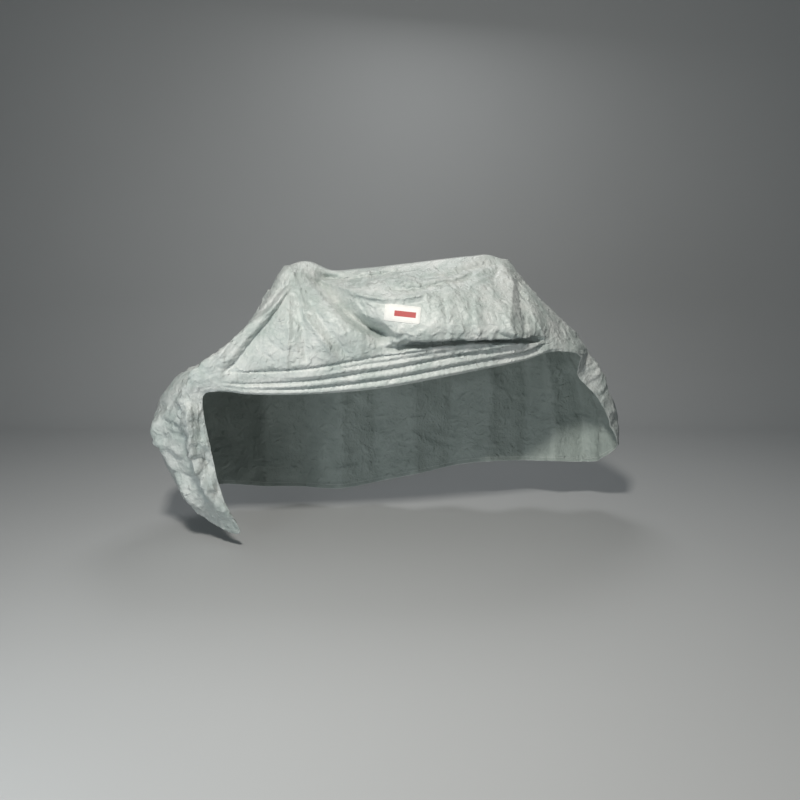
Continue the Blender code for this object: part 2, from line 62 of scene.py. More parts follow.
# Sections, in cm: place round the hem (0 left end, 0.25 near side, 0.5 right end, 0.75 far side),
# then x, y, z of the column at the hem, skirt, waist and shoulder.
SECTIONS = (
    # turn    hem             skirt            waist            shoulder
    (0.000, (-78, 0, 6), (-88, 1, 24), (-88, 0, 45), (-58, 0, 71)),
    (0.022, (-69, -8, 1.5), (-80, -9, 20), (-85, -10, 45), (-57.5, -4, 71)),
    (0.040, (-57.5, -15, 0.5), (-69, -17, 17), (-79, -18, 44), (-56.5, -7.5, 71.5)),
    (0.057, (-62.5, -17, 14), (-70, -20, 27), (-75, -21, 47), (-55, -11, 72)),
    (0.076, (-65.5, -20, 34), (-70.5, -23, 39), (-74, -23.5, 50), (-53.5, -15, 73)),
    (0.095, (-66, -23.5, 51.5), (-69, -25.5, 55), (-68, -25.5, 61), (-51.5, -18, 75)),
    (0.108, (-61.5, -24, 53.2), (-62.5, -26, 58.5), (-60, -25.5, 65), (-48, -19, 78)),
    (0.130, (-52, -22, 52.2), (-51.5, -24, 59.5), (-48.5, -24, 68), (-42, -18.5, 82)),
    (0.180, (-32, -19, 51.6), (-31, -22.5, 61), (-30, -23.5, 70), (-33, -18, 82.5)),
    (0.240, (-6, -17, 53.4), (-6, -20, 65), (-7, -22, 75), (-13, -17, 85)),
    (0.300, (20, -14, 57.8), (19, -17, 67.5), (17, -19.5, 77), (10, -13.5, 88)),
    (0.360, (43, -9.5, 62), (42, -12.5, 67.8), (40, -14.5, 76), (35, -7, 88)),
    (0.405, (57.5, -5, 65), (56, -5.5, 68), (52, -5, 76), (45, -1, 87)),
    (0.430, (67, 1, 62.5), (66, 1.5, 66), (60, 3, 73), (50, 4, 85)),
    (0.452, (68, 9, 54.5), (71, 8.5, 61), (66, 8, 70), (52, 8, 84)),
    (0.476, (77, 12.5, 45.5), (77.5, 13, 55), (70, 13, 67), (54, 11, 82)),
    (0.505, (87, 20, 28), (85.5, 20.5, 41), (74, 20, 59), (56, 17, 79)),
    (0.545, (86, 32, 16), (85, 33, 36), (75, 31.5, 56), (56, 27, 77)),
    (0.610, (64, 37, 14), (64, 41, 36), (60, 40.5, 58), (50, 33, 80)),
    (0.690, (32, 38, 13), (33, 43, 36), (33, 44, 60), (30, 36, 84)),
    (0.760, (3, 38, 7), (4, 44, 32), (4, 45, 58), (0, 37, 82)),
    (0.830, (-27, 38, 1.5), (-26, 43, 27), (-24, 44, 54), (-25, 36, 80)),
    (0.890, (-54, 36, 3), (-54, 40, 26), (-50, 40, 52), (-40, 32, 78)),
    (0.940, (-76, 27, 6), (-79, 29, 26), (-77, 28, 50), (-52, 22, 74)),
    (0.972, (-82, 12, 8), (-88, 14, 26), (-87, 13, 48), (-57, 10, 72)),
)

# Ridge, in cm: share of its length, x, y, z. It dips between the two high places that it rests on.
RIDGE_LINE = (
    (0.00, -38.0, 1.0, 95.0),
    (0.05, -34.5, 3.0, 96.6),
    (0.17, -25.0, 5.0, 93.6),
    (0.30, -15.0, 6.0, 94.2),
    (0.55, 2.0, 7.0, 96.0),
    (0.85, 27.0, 9.0, 98.9),
    (0.94, 33.0, 10.0, 99.3),
    (1.00, 37.5, 10.0, 98.0),
)
RIDGE_HALF_WIDTH = 0.028
RIDGE_CROWN = 0.004

# Sheet: how often the directions through it are averaged, and the steps of its hem's round edge.
THROUGH_PASSES = 3
EDGE_STEPS = 4

# Share of the ridge that a near column reaches, by its turn. Those of the left half lean to the peak.
RIDGE_REACH = ((0.00, 0.0), (0.11, 0.0), (0.18, 0.05), (0.24, 0.22), (0.30, 0.54), (0.36, 0.87), (0.41, 1.0))
LEFT_END_TURN = 0.11
RIGHT_END_TURN = 0.09

# Columns counted round the hem against turn, on the near side and on the far side. Each far column
# meets the ridge where every third near column does.
NEAR_COLUMNS = ((0, 0.0), (36, 0.05), (66, 0.1), (250, 0.43), (288, 0.5))
FAR_COLUMNS = ((0, 1.0), (22, 0.89), (74, 0.61), (96, 0.5))
NEAR_PER_FAR = 3

# Rows counted up a column against height: closest in the gathers.
ROWS = ((0, 0.0), (34, 0.20), (60, 0.42), (88, 0.72), (110, 1.0))

# Where the cloth is drawn up to a peak, in cm: place, pull, reach.
PEAK = (-38, -5, 94)
PEAK_PULL = (-1.5, -6.5, 0.5)
PEAK_REACH = 6.5

# Pouch over the gathered hem, in cm: height up the column, move outward, move up. Its mouth is a slot.
# Then the x at which it begins, is full, begins to end and ends, and how far the cloth faces the front.
POUCH = (
    (0.150, 0.0, 0.0),
    (0.195, 0.9, 1.0),
    (0.215, -2.5, 0.4),
    (0.240, -6.0, 0.6),
    (0.262, 0.5, 0.5),
    (0.285, 2.4, -0.8),
    (0.340, 3.2, -1.2),
    (0.480, 1.6, 0.0),
    (0.700, 0.0, 0.0),
)
POUCH_SPAN = (-9.0, 9.0, 41.0, 54.0)
POUCH_FACING = (0.1, 0.4)

# Long pleats that the hem cord draws in along the near side, in cm: height above the hem at the left
# corner, at mid length and at the right end, width, depth (a trough is negative), and the shares of the
# length at which each begins and ends.
PLEATS = (
    (0.8, 1.4, 1.3, 0.9, 0.9, 0.0, 1.0),
    (1.5, 3.2, 3.5, 0.28, -1.3, 0.12, 0.98),
    (2.1, 4.7, 5.2, 1.1, 1.0, 0.0, 0.97),
    (2.6, 6.5, 8.0, 0.30, -1.5, 0.03, 0.86),
    (5.0, 8.3, 8.9, 0.9, 0.8, 0.15, 0.88),
    (7.0, 9.4, 10.0, 0.26, -0.8, 0.30, 0.92),
    (6.4, 11.3, 12.0, 0.4, -1.4, 0.04, 0.62),
)
# Roundness of a pleat and of the line between two, the turns and the mid length that the table goes by,
# and the share of the length over which an end fades.
PLEAT_ROLL, PLEAT_LINE = 1.0, 0.15
PLEATS_FROM, PLEATS_TO, PLEATS_MIDDLE, PLEAT_FADE = 0.098, 0.415, 0.4, 0.12

# How much of a fold shows: by its place along it, as it rises and as it ends, and by how far the cloth
# faces the front on the near side and on the left end.
FOLD_STEPS = 10
FOLD_SPAN = (0.0, 0.14, 0.80, 1.0)
NEAR_FACING, LEFT_FACING = (0.05, 0.35), (-0.05, 0.30)

# Folds of the near side, in cm: places (x, z) along each, seen from the front, then its width to the
# left and to the right of that run, its height (a trough is negative) and its roundness (0 is sharp).
NEAR_FOLDS = (
    # The pleat that is pulled tight from the peak to the left corner: its crest, and the line beside it.
    (((-36.5, 90.5), (-42, 81), (-51.5, 75), (-56.5, 69.5), (-64.5, 59.5)), 2.4, 0.9, 1.9, 0.2),
    (((-35.5, 88.5), (-43.5, 77), (-49, 71), (-54, 64.5), (-60, 58)), 2.2, 0.35, -2.8, 0.05),
    (((-39, 89), (-45, 81), (-53, 76)), 1.4, 1.2, -1.8, 0.4),
    # Folds that radiate from the peak down the left half.
    (((-37.5, 87), (-36.5, 73.5), (-37.5, 63), (-38, 58)), 0.7, 2.6, 1.0, 0.1),
    (((-34.5, 88), (-32.5, 75), (-31, 61)), 2.4, 2.0, -1.5, 0.5),
    (((-35.2, 90.5), (-32.5, 81.5), (-31, 77.5), (-25.5, 70.5), (-20, 62)), 0.7, 1.2, 1.6, 0.1),
    (((-31, 84), (-24.5, 74), (-16, 63)), 1.8, 1.4, -1.2, 0.5),
    (((-33, 91.5), (-26, 83.5), (-17, 75.5), (-7, 69.5)), 0.8, 2.4, 2.0, 0.15),
    (((-33, 93), (-24.3, 84.9), (-16, 77.2), (-8, 72.6), (0, 71)), 5.4, 2.4, -9.0, 0.4),
    (((-15.5, 84), (-12.5, 79), (-8, 77.5)), 0.6, 0.7, 1.0, 0.1),
    # The long thin crest from the peak under the ridge, and the line under it.
    (
        ((-34, 92.8), (-24.7, 89.1), (-17.5, 86.8), (-9.8, 84.3), (-2.8, 83.7), (5, 84.5), (15, 86.3)),
        *(1.4, 1.7, 4.0, 0.15),
    ),
    (((-9.5, 82.5), (-1.5, 81.8), (9, 83)), 0.5, 1.4, -1.4, 0.1),
    # Sagging lines between the two high places.
    (((-8, 86.5), (5, 87), (13, 88.2), (21, 89.7), (28, 93)), 1.1, 2.0, -2.6, 0.5),
    (((-2, 89), (14, 90), (28, 93.5)), 1.3, 1.2, 1.6, 0.5),
    (((3, 90.3), (17.5, 92), (25.5, 94.2), (35, 97)), 1.1, 2.0, -2.3, 0.5),
    (((-30, 91.8), (-21, 90.6), (-11, 91.5), (2, 94.3)), 0.9, 1.6, -3.6, 0.2),
    # The pouch: its left edge, its right edge, and the hollows and creases past that.
    (((-8.3, 83.5), (-6.6, 77.3), (-3.6, 74.3), (1, 70.5)), 2.2, 0.8, 2.4, 0.1),
    (((34, 98), (40, 93), (39, 85), (37, 77), (39, 72), (47, 69)), 1.4, 3.0, 1.9, 0.15),
    (((43, 92), (42.5, 80), (43.5, 72)), 4.5, 1.6, -2.8, 0.4),
    (((45.5, 80), (49.5, 73), (51.5, 68.5)), 0.7, 0.9, 1.2, 0.1),
    (((43, 87), (45.5, 83), (52, 79.5)), 0.5, 0.5, -1.5, 0.1),
    (((32, 73), (35, 71.5), (40, 70)), 0.8, 0.8, -1.0, 0.1),
    (((14, 84), (15.5, 77), (15, 70)), 0.9, 1.6, -0.8, 0.2),
    (((26, 86), (25, 78), (27, 70)), 1.4, 0.9, 0.8, 0.2),
)

# Folds of the hanging left end, in the same columns, and the x in cm at which they begin and are whole.
LEFT_FOLDS_X = (-58.0, -70.0)
LEFT_FOLDS = (
    (((-75, 50), (-75.5, 42), (-76, 36), (-75, 30), (-72, 22), (-67, 10)), 0.9, 2.6, -7.5, 0.2),
    (((-71, 52), (-71, 41), (-71, 31), (-68.5, 20), (-63, 7)), 1.6, 1.6, 2.4, 0.5),
    (((-84, 45), (-85, 36), (-82, 26), (-77, 16), (-70, 5)), 1.5, 2.4, 3.0, 0.4),
    (((-86, 42), (-80, 40), (-76.5, 35)), 0.7, 1.2, -1.6, 0.1),
    (((-87, 34), (-82, 32), (-77, 27)), 0.9, 0.9, 1.3, 0.1),
    (((-85, 25), (-79, 21.5), (-73, 18)), 0.7, 1.0, -1.5, 0.1),
    (((-71, 45), (-67.5, 42.5), (-65, 43)), 0.5, 0.8, -1.1, 0.1),
    (((-72, 38), (-68, 35.5), (-64.5, 33)), 0.6, 0.8, 1.2, 0.1),
    (((-71, 30), (-67, 28), (-64, 23)), 0.5, 0.8, -1.2, 0.1),
    (((-67, 18), (-64, 14), (-61, 8)), 0.6, 0.8, -1.0, 0.1),
)

# Falls of the two ends and the far side: turn at the hem and at the ridge, width in turns, depth in cm
# (a valley is negative), and the height up the column where the fall dies out.
FALL_FADE = 0.6
FALLS = (
    (0.990, 0.985, 0.011, 2.2, 0.62),
    (0.966, 0.967, 0.010, -3.0, 0.72),
    (0.934, 0.937, 0.014, 3.0, 0.80),
    (0.897, 0.907, 0.011, -2.8, 0.84),
    (0.862, 0.872, 0.015, 3.4, 0.92),
    (0.826, 0.846, 0.012, -3.2, 0.93),
    (0.790, 0.812, 0.014, 2.6, 0.88),
    (0.752, 0.765, 0.012, -2.8, 0.92),
    (0.716, 0.715, 0.015, 3.2, 0.93),
    (0.676, 0.672, 0.012, -3.2, 0.92),
    (0.636, 0.625, 0.014, 2.8, 0.88),
    (0.604, 0.600, 0.011, -2.8, 0.82),
    (0.571, 0.575, 0.012, 2.6, 0.82),
    (0.543, 0.555, 0.010, -2.0, 0.72),
    (0.514, 0.525, 0.010, 1.6, 0.68),
)

# Puffs, in cm: x, y, z, radius, height. Then the height from which all folds fade toward the ridge.
PUFFS = (
    (-80, -6, 57, 7.0, 2.4),
    (-86, -4, 38, 6.0, 1.6),
    (-60, -14, 66, 8.0, -1.6),
    (12, -20, 80, 9.0, 0.8),
)
RIDGE_CALM = 0.93

# Crinkles that the coating keeps, in cm: how many, length, width and height, coarse to fine. Then the
# spread of their sizes, the spread of one side's width, how much each strays from the pulls below and
# curves, its roundness, how far in metres it reaches off its plane, and the columns on each side of it.
CRINKLES = ((90, 20.0, 2.0, 0.6), (560, 9.0, 0.8, 0.36), (2400, 4.2, 0.45, 0.2))
CRINKLE_SEED = 11
CRINKLE_SPREAD, CRINKLE_LEAN = (0.6, 1.5), (0.6, 1.6)
CRINKLE_STRAY, CRINKLE_CURVE, CRINKLE_ROUND = 0.35, 0.18, 0.15
CRINKLE_REACH, CRINKLE_WINDOW = 0.05, 60

# Places that the cloth is drawn to, in cm, and how far each turns the crinkles its way: x, y, z, reach.
PULLS = (
    (-36, -10, 92, 45),
    (-62, -24, 55, 50),
    (37, 4, 97, 25),
    (60, 0, 68, 25),
)

# Where the crinkles are deeper or shallower than elsewhere, in cm: x, y, z, radius, share added.
CRINKLED = (
    (-68, -17, 32, 15, 1.1),
    (-72, -16, 60, 10, -0.7),
    (-20, -22, 57, 20, -0.5),
    (25, -16, 66, 22, -0.5),
    (55, 2, 74, 18, -0.5),
    (-45, -20, 78, 13, -0.6),
    (-56, -25, 65, 11, -0.6),
    (-20, -22, 72, 14, -0.3),
)
# Soft unevenness under the crinkles, in cm: its size and depth. Then the slopes that the noise draws
# from, and what brings it to about -1 to 1.
CLOUD_SIZE, CLOUD_DEPTH = 9.0, 0.35
NOISE_SLOPES, NOISE_GAIN = 256, 1.8

# Rolled hem, in cm: how far it stands out, and the size and depth of the puckers that its cord makes.
HEM_ROLL, HEM_PUCKER, HEM_PUCKER_DEPTH = 0.12, 2.6, 0.07

# Settling: the solver's frames, the rows it moves, how still it holds the cloth (0 loose, 1 fixed) in
# general, where it hangs loose and beside the hem, and the steps of that hold. A negative shrink cuts the
# sheet larger than its place: a little in general, and most where it hangs loose.
SETTLE_FRAMES = 10
SETTLE_TOP, SETTLE_CALM = 0.97, 0.80
SETTLE_HOLD, SETTLE_LOOSE, SETTLE_EDGE, HOLD_STEPS = 0.60, 0.46, 0.8, 20.0
SOLVER = {
    "quality": 5,
    "mass": 0.15,
    "air_damping": 2.0,
    "tension_stiffness": 40.0,
    "compression_stiffness": 40.0,
    "shear_stiffness": 15.0,
    "bending_model": "ANGULAR",
    "bending_stiffness": 8.0,
    "vertex_group_mass": "hold",
    "pin_stiffness": 1.0,
    "vertex_group_shrink": "loose",
    "shrink_min": -0.04,
    "shrink_max": -0.09,
}
# Where the cloth is pulled taut, in cm, and how still it is held there: x, y, z, radius.
TAUT = (
    (-38, -12, 88, 8),
    (-42, -16, 82, 9),
    (-50, -22, 73, 9),
    (-57, -25, 65, 9),
    (-62, -25, 58, 7),
    (-72, -20, 53, 8),
    (-80, -10, 55, 8),
    (52, 2, 76, 15),
)
TAUT_HOLD = 0.78
# Rows as close as this in metres count as gathered. The band: its hold, the heights over which it ends,
# and how much calmer its crinkles are.
GATHERED_PITCH = (0.0014, 0.0026)
BAND_HOLD, BAND_TOP, BAND_CALM, BAND_END = 0.92, (0.17, 0.23), 0.85, 0.01
# Where the cloth hangs loosest, in cm: x, y, z, radius.
LOOSE = ((-74, -14, 27, 20), (75, 20, 45, 22), (-86, 8, 38, 20))

# Patch, in metres: its centre in x and z, size, tilt clockwise in degrees, and the cells of its grid. It
# starts flat, ahead of the cover, and is pressed back. The cloth under it is calm, and held while it settles.
LABEL_CENTRE = (0.008, 0.789)
LABEL_SIZE = (0.120, 0.056)
LABEL_TILT = 6.0
LABEL_CELLS = (72, 34)
LABEL_AHEAD = -1.0
LABEL_CALM, LABEL_HOLD = 0.9, (0.2, 0.8)
# Its corners' radius, its thickness, the rise of its middle, the gap behind it, and how far in and how
# deep, as a share of its thickness, it is sewn down.
LABEL_CORNER, LABEL_THICK, LABEL_PUFF, LABEL_GAP = 0.006, 0.0009, 0.0006, 0.0004
LABEL_INSET, LABEL_GROOVE = 0.003, 0.3
# Its bar, as shares of its size: centre in x and z, and half sizes.
LABEL_BAR = (0.08, -0.02, 0.30, 0.16)
# Its stitches: pitch, length, radius, the rings and sides of each, and how near to a point its ends come.
STITCH_PITCH, STITCH_LENGTH, STITCH_RADIUS, STITCH_RINGS, STITCH_SIDES = 0.004, 0.0028, 0.0004, 5, 6
STITCH_TIP = 0.97

# Camera, matched to the photo: distance from the lens to an 800 pixel frame in pixels, its place from
# the ground under the load, and its tilt below level in degrees.
FOCAL_PIXELS = 672.0
PICTURE_PIXELS = 800.0
CAMERA_PLACE = np.array((0.0, -2.46, 0.863))
CAMERA_TILT = 9.2

# Studio, in metres: the floor's near edge and how far back it runs, the radius of its bend, the wall's
# height above it, half its breadth, and the cells across it and round the bend.
FLOOR_NEAR, FLOOR_BACK, FLOOR_BEND, FLOOR_WALL, FLOOR_HALF = -4.5, 1.9, 0.9, 3.4, 5.5
FLOOR_CELLS, BEND_CELLS = 11, 16
# Lights: name, place, aim, side of the square, watts and colour. Then the room's own faint light.
LIGHTS = (
    ("key_softbox", (-0.3, -2.2, 1.5), (0.0, -0.1, -0.25), 0.3, 62.0, "fffbf4"),
    ("fill_softbox", (2.6, -2.2, 0.5), (0.1, 0.0, -0.3), 1.8, 3.0, "ffffff"),
    ("low_softbox", (-1.3, -2.2, -0.6), (0.2, 0.3, -0.6), 1.0, 15.0, "f4fbff"),
    ("top_softbox", (0.2, 1.5, 2.4), (0.0, 0.4, -0.4), 1.2, 20.0, "ffffff"),
)
ROOM_COLOUR, ROOM_STRENGTH = "bccbd2", 0.12


# ---- Shape ----


def eased(value, low, high):
    """0 below low and 1 above high, with a smooth step 3s^2 - 2s^3 between."""
    share = np.clip((value - low) / (high - low), 0.0, 1.0)
    return share * share * (3.0 - 2.0 * share)


def between(value, start, full, fading, gone):
    """0 up to start, 1 from full to fading and 0 from gone on, with smooth steps."""
    return eased(value, start, full) * (1.0 - eased(value, fading, gone))


def through(knots, values, at, loop=False):
    """Cubic Hermite curve through the values at uneven knots. A loop meets its start one turn on."""
    knots = np.asarray(knots, float)
    values = np.asarray(values, float)
    if loop:
        knots = np.concatenate([knots[-2:] - 1.0, knots, knots[:2] + 1.0])
        values = np.concatenate([values[-2:], values, values[:2]])
    step = np.diff(knots)[:, None]
    rise = np.diff(values, axis=0) / step
    slope = np.concatenate(
        [rise[:1], (rise[:-1] * step[1:] + rise[1:] * step[:-1]) / (step[1:] + step[:-1]), rise[-1:]]
    )
    left = np.clip(np.searchsorted(knots, at, side="right") - 1, 0, len(step) - 1)
    share = (np.asarray(at) - knots[left])[:, None] / step[left]
    back = 1.0 - share
    start = back * back * (1.0 + 2.0 * share) * values[left]
    finish = share * share * (3.0 - 2.0 * share) * values[left + 1]
    bends = share * back * (back * slope[left] - share * slope[left + 1]) * step[left]
    return start + finish + bends


def column_turns():
    """Turns of all columns, near side first, then the far side back to the left end."""
    near = np.array(NEAR_COLUMNS)
    far = np.array(FAR_COLUMNS)
    near_turns = np.interp(np.arange(near[-1, 0] + 1), near[:, 0], near[:, 1])
    far_turns = np.interp(np.arange(far[-1, 0] - 1, 0, -1), far[:, 0], far[:, 1])
    return np.concatenate([near_turns, far_turns])


def row_heights():
    """Heights of all rows up a column."""
    rows = np.array(ROWS)
    return np.interp(np.arange(rows[-1, 0] + 1), rows[:, 0], rows[:, 1])


def ridge_turns(turns):
    """Turn of the near column that each column meets at the ridge: far columns meet every third one."""
    near = turns[: NEAR_COLUMNS[-1][0] + 1]
    return np.concatenate([near, near[::NEAR_PER_FAR][1:-1][::-1]])


def ridge_line(nearer):
    """Points of the ridge's middle line that near columns at these turns meet."""
    reach, line = np.array(RIDGE_REACH), np.array(RIDGE_LINE)
    return through(line[:, 0], line[:, 1:] * CM, np.interp(nearer, reach[:, 0], reach[:, 1]))


def ridge_loop(turns):
    """Narrow loop round the ridge that the columns end on, with its two ends round."""
    nearer = ridge_turns(turns)
    points = ridge_line(nearer)
    left = np.clip(nearer / LEFT_END_TURN, 0.0, 1.0)
    right = np.clip((nearer - 0.5 + RIGHT_END_TURN) / RIGHT_END_TURN, 0.0, 1.0)
    angle = 0.5 * np.pi * (left + right)
    side = np.where(turns < 0.5, -1.0, 1.0)
    points[:, 0] -= RIDGE_HALF_WIDTH * np.cos(angle)
    points[:, 1] += RIDGE_HALF_WIDTH * np.sin(angle) * side
    return points


def section_surface(turns, heights):
    """Points of the plain surface: a Hermite curve round each ring, then up each column through them."""
    knots = [row[0] for row in SECTIONS]
    rings = []
    for place in (1, 2, 3, 4):
        ring = np.array([row[place] for row in SECTIONS]) * CM
        rings.append(through(knots, ring, turns, loop=True))
    rings.append(ridge_loop(turns))
    flat = np.array(rings).reshape(5, -1)
    curves = through((HEM, SKIRT, WAIST, SHOULDER, RIDGE), flat, heights)
    return curves.reshape(len(heights), len(turns), 3).transpose(1, 0, 2)


def outward(points):
    """Unit normals of the surface: the cross product of its two grid directions."""
    round_it = np.roll(points, -1, axis=0) - np.roll(points, 1, axis=0)
    up_it = np.gradient(points, axis=1)
    normal = np.cross(round_it, up_it)
    return normal / np.linalg.norm(normal, axis=2, keepdims=True)


def add_pouch(points, heights):
    """Let the near side hang over its gathered hem as a shallow pouch with a gap under it."""
    table = np.array(POUCH)
    moves = through(table[:, 0], table[:, 1:] * CM, np.clip(heights, table[0, 0], table[-1, 0]))
    strength = between(points[:, :, 0] / CM, *POUCH_SPAN) * eased(-outward(points)[:, :, 1], *POUCH_FACING)
    moved = points.copy()
    moved[:, :, 1] -= moves[None, :, 0] * strength
    moved[:, :, 2] += moves[None, :, 1] * strength
    return moved


def add_peak(points):
    """Draw the cloth to a peak where it is held: a pull that dies off as exp(-distance / reach)."""
    distance = np.linalg.norm(points - np.array(PEAK) * CM, axis=2, keepdims=True)
    return points + np.array(PEAK_PULL) * CM * np.exp(-distance / (PEAK_REACH * CM))


def crease(off, crisp):
    """Cross-section of a fold: exp(c - sqrt(c^2 + (1 + 2c) off^2)), 1 on its line and 1/e a width away.

    A small c gives a sharp line with flat sides, and a large one a round fold.
    """
    return np.exp(crisp - np.sqrt(crisp * crisp + (1.0 + 2.0 * crisp) * off * off))


def fold_height(points, folds):
    """Height in metres that the folds add: each is a smooth line, and its height falls off to its sides."""
    x, z = points[:, :, 0] / CM, points[:, :, 2] / CM
    total = np.zeros_like(x)
    for places, left, right, height, roundness in folds:
        knots = np.linspace(0.0, 1.0, len(places))
        line = through(knots, np.array(places, float), np.linspace(0.0, 1.0, FOLD_STEPS + 1))
        nearest, off, share = np.full_like(x, np.inf), np.zeros_like(x), np.zeros_like(x)
        for step in range(FOLD_STEPS):
            run_x, run_z = line[step + 1] - line[step]
            from_x, from_z = x - line[step, 0], z - line[step, 1]
            along = np.clip((from_x * run_x + from_z * run_z) / (run_x**2 + run_z**2), 0.0, 1.0)
            distance = np.hypot(from_x - along * run_x, from_z - along * run_z)
            closer = distance < nearest
            nearest = np.where(closer, distance, nearest)
            off = np.where(closer, np.sign(run_x * from_z - run_z * from_x) * distance, off)
            share = np.where(closer, (step + along) / FOLD_STEPS, share)
        across = off / np.where(off > 0.0, left, right)
        total += height * crease(across, roundness) * between(share, *FOLD_SPAN)
    return total * CM


def up_the_cloth(points):
    """Distance in metres up each column from the hem."""
    steps = np.linalg.norm(np.diff(points, axis=1), axis=2)
    return np.concatenate([np.zeros((len(points), 1)), np.cumsum(steps, axis=1)], axis=1)


def pleat_height(turns, heights, points):
    """Height in metres of the long pleats above the near hem."""
    above = up_the_cloth(points) / CM
    share = ((turns - PLEATS_FROM) / (PLEATS_TO - PLEATS_FROM))[:, None]
    total = np.zeros_like(above)
    for left, middle, right, width, depth, start, end in PLEATS:
        off = above - np.interp(share, (0.0, PLEATS_MIDDLE, 1.0), (left, middle, right))
        ends = between(share, start, start + PLEAT_FADE, end - PLEAT_FADE, end)
        total += depth * crease(off / width, PLEAT_ROLL if depth > 0.0 else PLEAT_LINE) * ends
    return total * CM * (heights[None, :] < WAIST)


def fall_height(turns, heights, crisp):
    """Height in metres of the falls round the ends and the far side."""
    total = np.zeros((len(turns), len(heights)))
    for low, high, width, depth, top in FALLS:
        middle = low + (high - low) * heights
        off = (turns[:, None] - middle + 0.5) % 1.0 - 0.5
        total += depth * crease(off / width, crisp) * (1.0 - eased(heights, FALL_FADE * top, top))
    return total * CM


def label_nearness(points):
    """1 at the patch's centre, falling to 0 past its edges: the cloth lies calmer there."""
    x = (points[:, :, 0] - LABEL_CENTRE[0]) / LABEL_SIZE[0]
    z = (points[:, :, 2] - LABEL_CENTRE[1]) / LABEL_SIZE[1]
    return np.exp(-((x * x + z * z) ** 2)) * (points[:, :, 1] < 0.0)


def nearness(points, place, power=2):
    """exp(-(distance / radius)^power) round a place (x, y, z, radius, in cm)."""
    away = np.linalg.norm(points / CM - np.array(place[:3]), axis=2)
    return np.exp(-((away / place[3]) ** power))


def lattice_noise(points, seed):
    """Gradient noise, about -1 to 1: random slopes at whole-number points, blended by 6t^5-15t^4+10t^3."""
    rng = np.random.default_rng(seed)
    slopes = rng.normal(size=(NOISE_SLOPES, 3))
    slopes /= np.linalg.norm(slopes, axis=1, keepdims=True)
    order = rng.permutation(NOISE_SLOPES)
    cell = np.floor(points).astype(int)
    part = points - cell
    blend = part**3 * (part * (part * 6.0 - 15.0) + 10.0)
    total = np.zeros(points.shape[:-1])
    for corner in np.ndindex(2, 2, 2):
        at = cell + np.array(corner)
        key = np.zeros(total.shape, int)
        for axis in range(3):
            key = order[(key + at[..., axis]) % NOISE_SLOPES]
        value = np.sum(slopes[key] * (part - np.array(corner)), axis=-1)
        weight = np.prod(np.where(np.array(corner) == 1, blend, 1.0 - blend), axis=-1)
        total += value * weight
    return total * NOISE_GAIN


def crinkle_height(points):
    """Height in metres of the crinkles: straight or slightly curved creases at random places.

    Each lies in the cloth's own plane there. It turns toward the places that the cloth is drawn to,
    as much as exp(-distance / reach), and fades to its ends as (1 - s^2)^2.
    """
    rng = np.random.default_rng(CRINKLE_SEED)
    normal = outward(points)
    columns, rows = points.shape[:2]
    pulls = np.array(PULLS) * CM
    depth = sum((place[4] * nearness(points, place) for place in CRINKLED), np.ones((columns, rows)))
    total = np.zeros((columns, rows))
    for count, length, width, height in CRINKLES:
        for _ in range(count):
            i, j = rng.integers(columns), rng.integers(rows)
            centre, up = points[i, j], normal[i, j]
            to_pulls = centre - pulls[:, :3]
            distance = np.linalg.norm(to_pulls, axis=1, keepdims=True)
            run = np.sum(to_pulls / distance * np.exp(-distance / pulls[:, 3:]), axis=0)
            run += CRINKLE_STRAY * rng.normal(size=3)
            run -= up * (run @ up)
            run /= np.linalg.norm(run)
            size = rng.uniform(*CRINKLE_SPREAD)
            half, wide = 0.5 * length * CM * size, width * CM * rng.uniform(*CRINKLE_SPREAD)
            window = (i + np.arange(-CRINKLE_WINDOW, CRINKLE_WINDOW + 1)) % columns
            offset = points[window] - centre
            along = offset @ run / half
            across = (offset @ np.cross(up, run)) / wide
            across += rng.normal() * CRINKLE_CURVE * half / wide * along**2
            across *= np.where(across > 0.0, rng.uniform(*CRINKLE_LEAN), 1.0)
            fade = np.clip(1.0 - along**2, 0.0, 1.0) ** 2 * (np.abs(offset @ up) < CRINKLE_REACH)
            total[window] += rng.choice((-1.0, 1.0)) * height * size * fade * crease(across, CRINKLE_ROUND)
    return total * depth * CM


def cover_surface(settings):
    """The cover's outer surface with all its folds, before it settles."""
    turns, heights = column_turns(), row_heights()
    points = add_peak(add_pouch(section_surface(turns, heights), heights))
    normal = outward(points)
    facing = -normal[:, :, 1]
    left_end = eased(-points[:, :, 0] / CM, -LEFT_FOLDS_X[0], -LEFT_FOLDS_X[1])
    # The near side's folds move the cloth straight along Y, so each stays at its own x and z.
    front = settings.fold_strength * fold_height(points, NEAR_FOLDS) * eased(facing, *NEAR_FACING)
    height = fold_height(points, LEFT_FOLDS) * eased(facing, *LEFT_FACING) * left_end
    puffs = sum(place[4] * nearness(points, place) for place in PUFFS) * CM
    height += fall_height(turns, heights, settings.fall_roundness) + puffs
    height *= settings.fold_strength
    height += pleat_height(turns, heights, points)
    crumple = settings.crinkle_strength * crinkle_height(points)
    crumple += lattice_noise(points / (CLOUD_SIZE * CM), CRINKLE_SEED) * CLOUD_DEPTH * CM
    height += crumple * (1.0 - BAND_CALM * band_share(turns, heights))
    height += hem_height(points, settings.hem_height)
    calm = (1.0 - LABEL_CALM * label_nearness(points)) * (1.0 - eased(heights, RIDGE_CALM, RIDGE))
    points = points + normal * (height * calm)[:, :, None]
    points[:, :, 1] -= front * calm
    return points


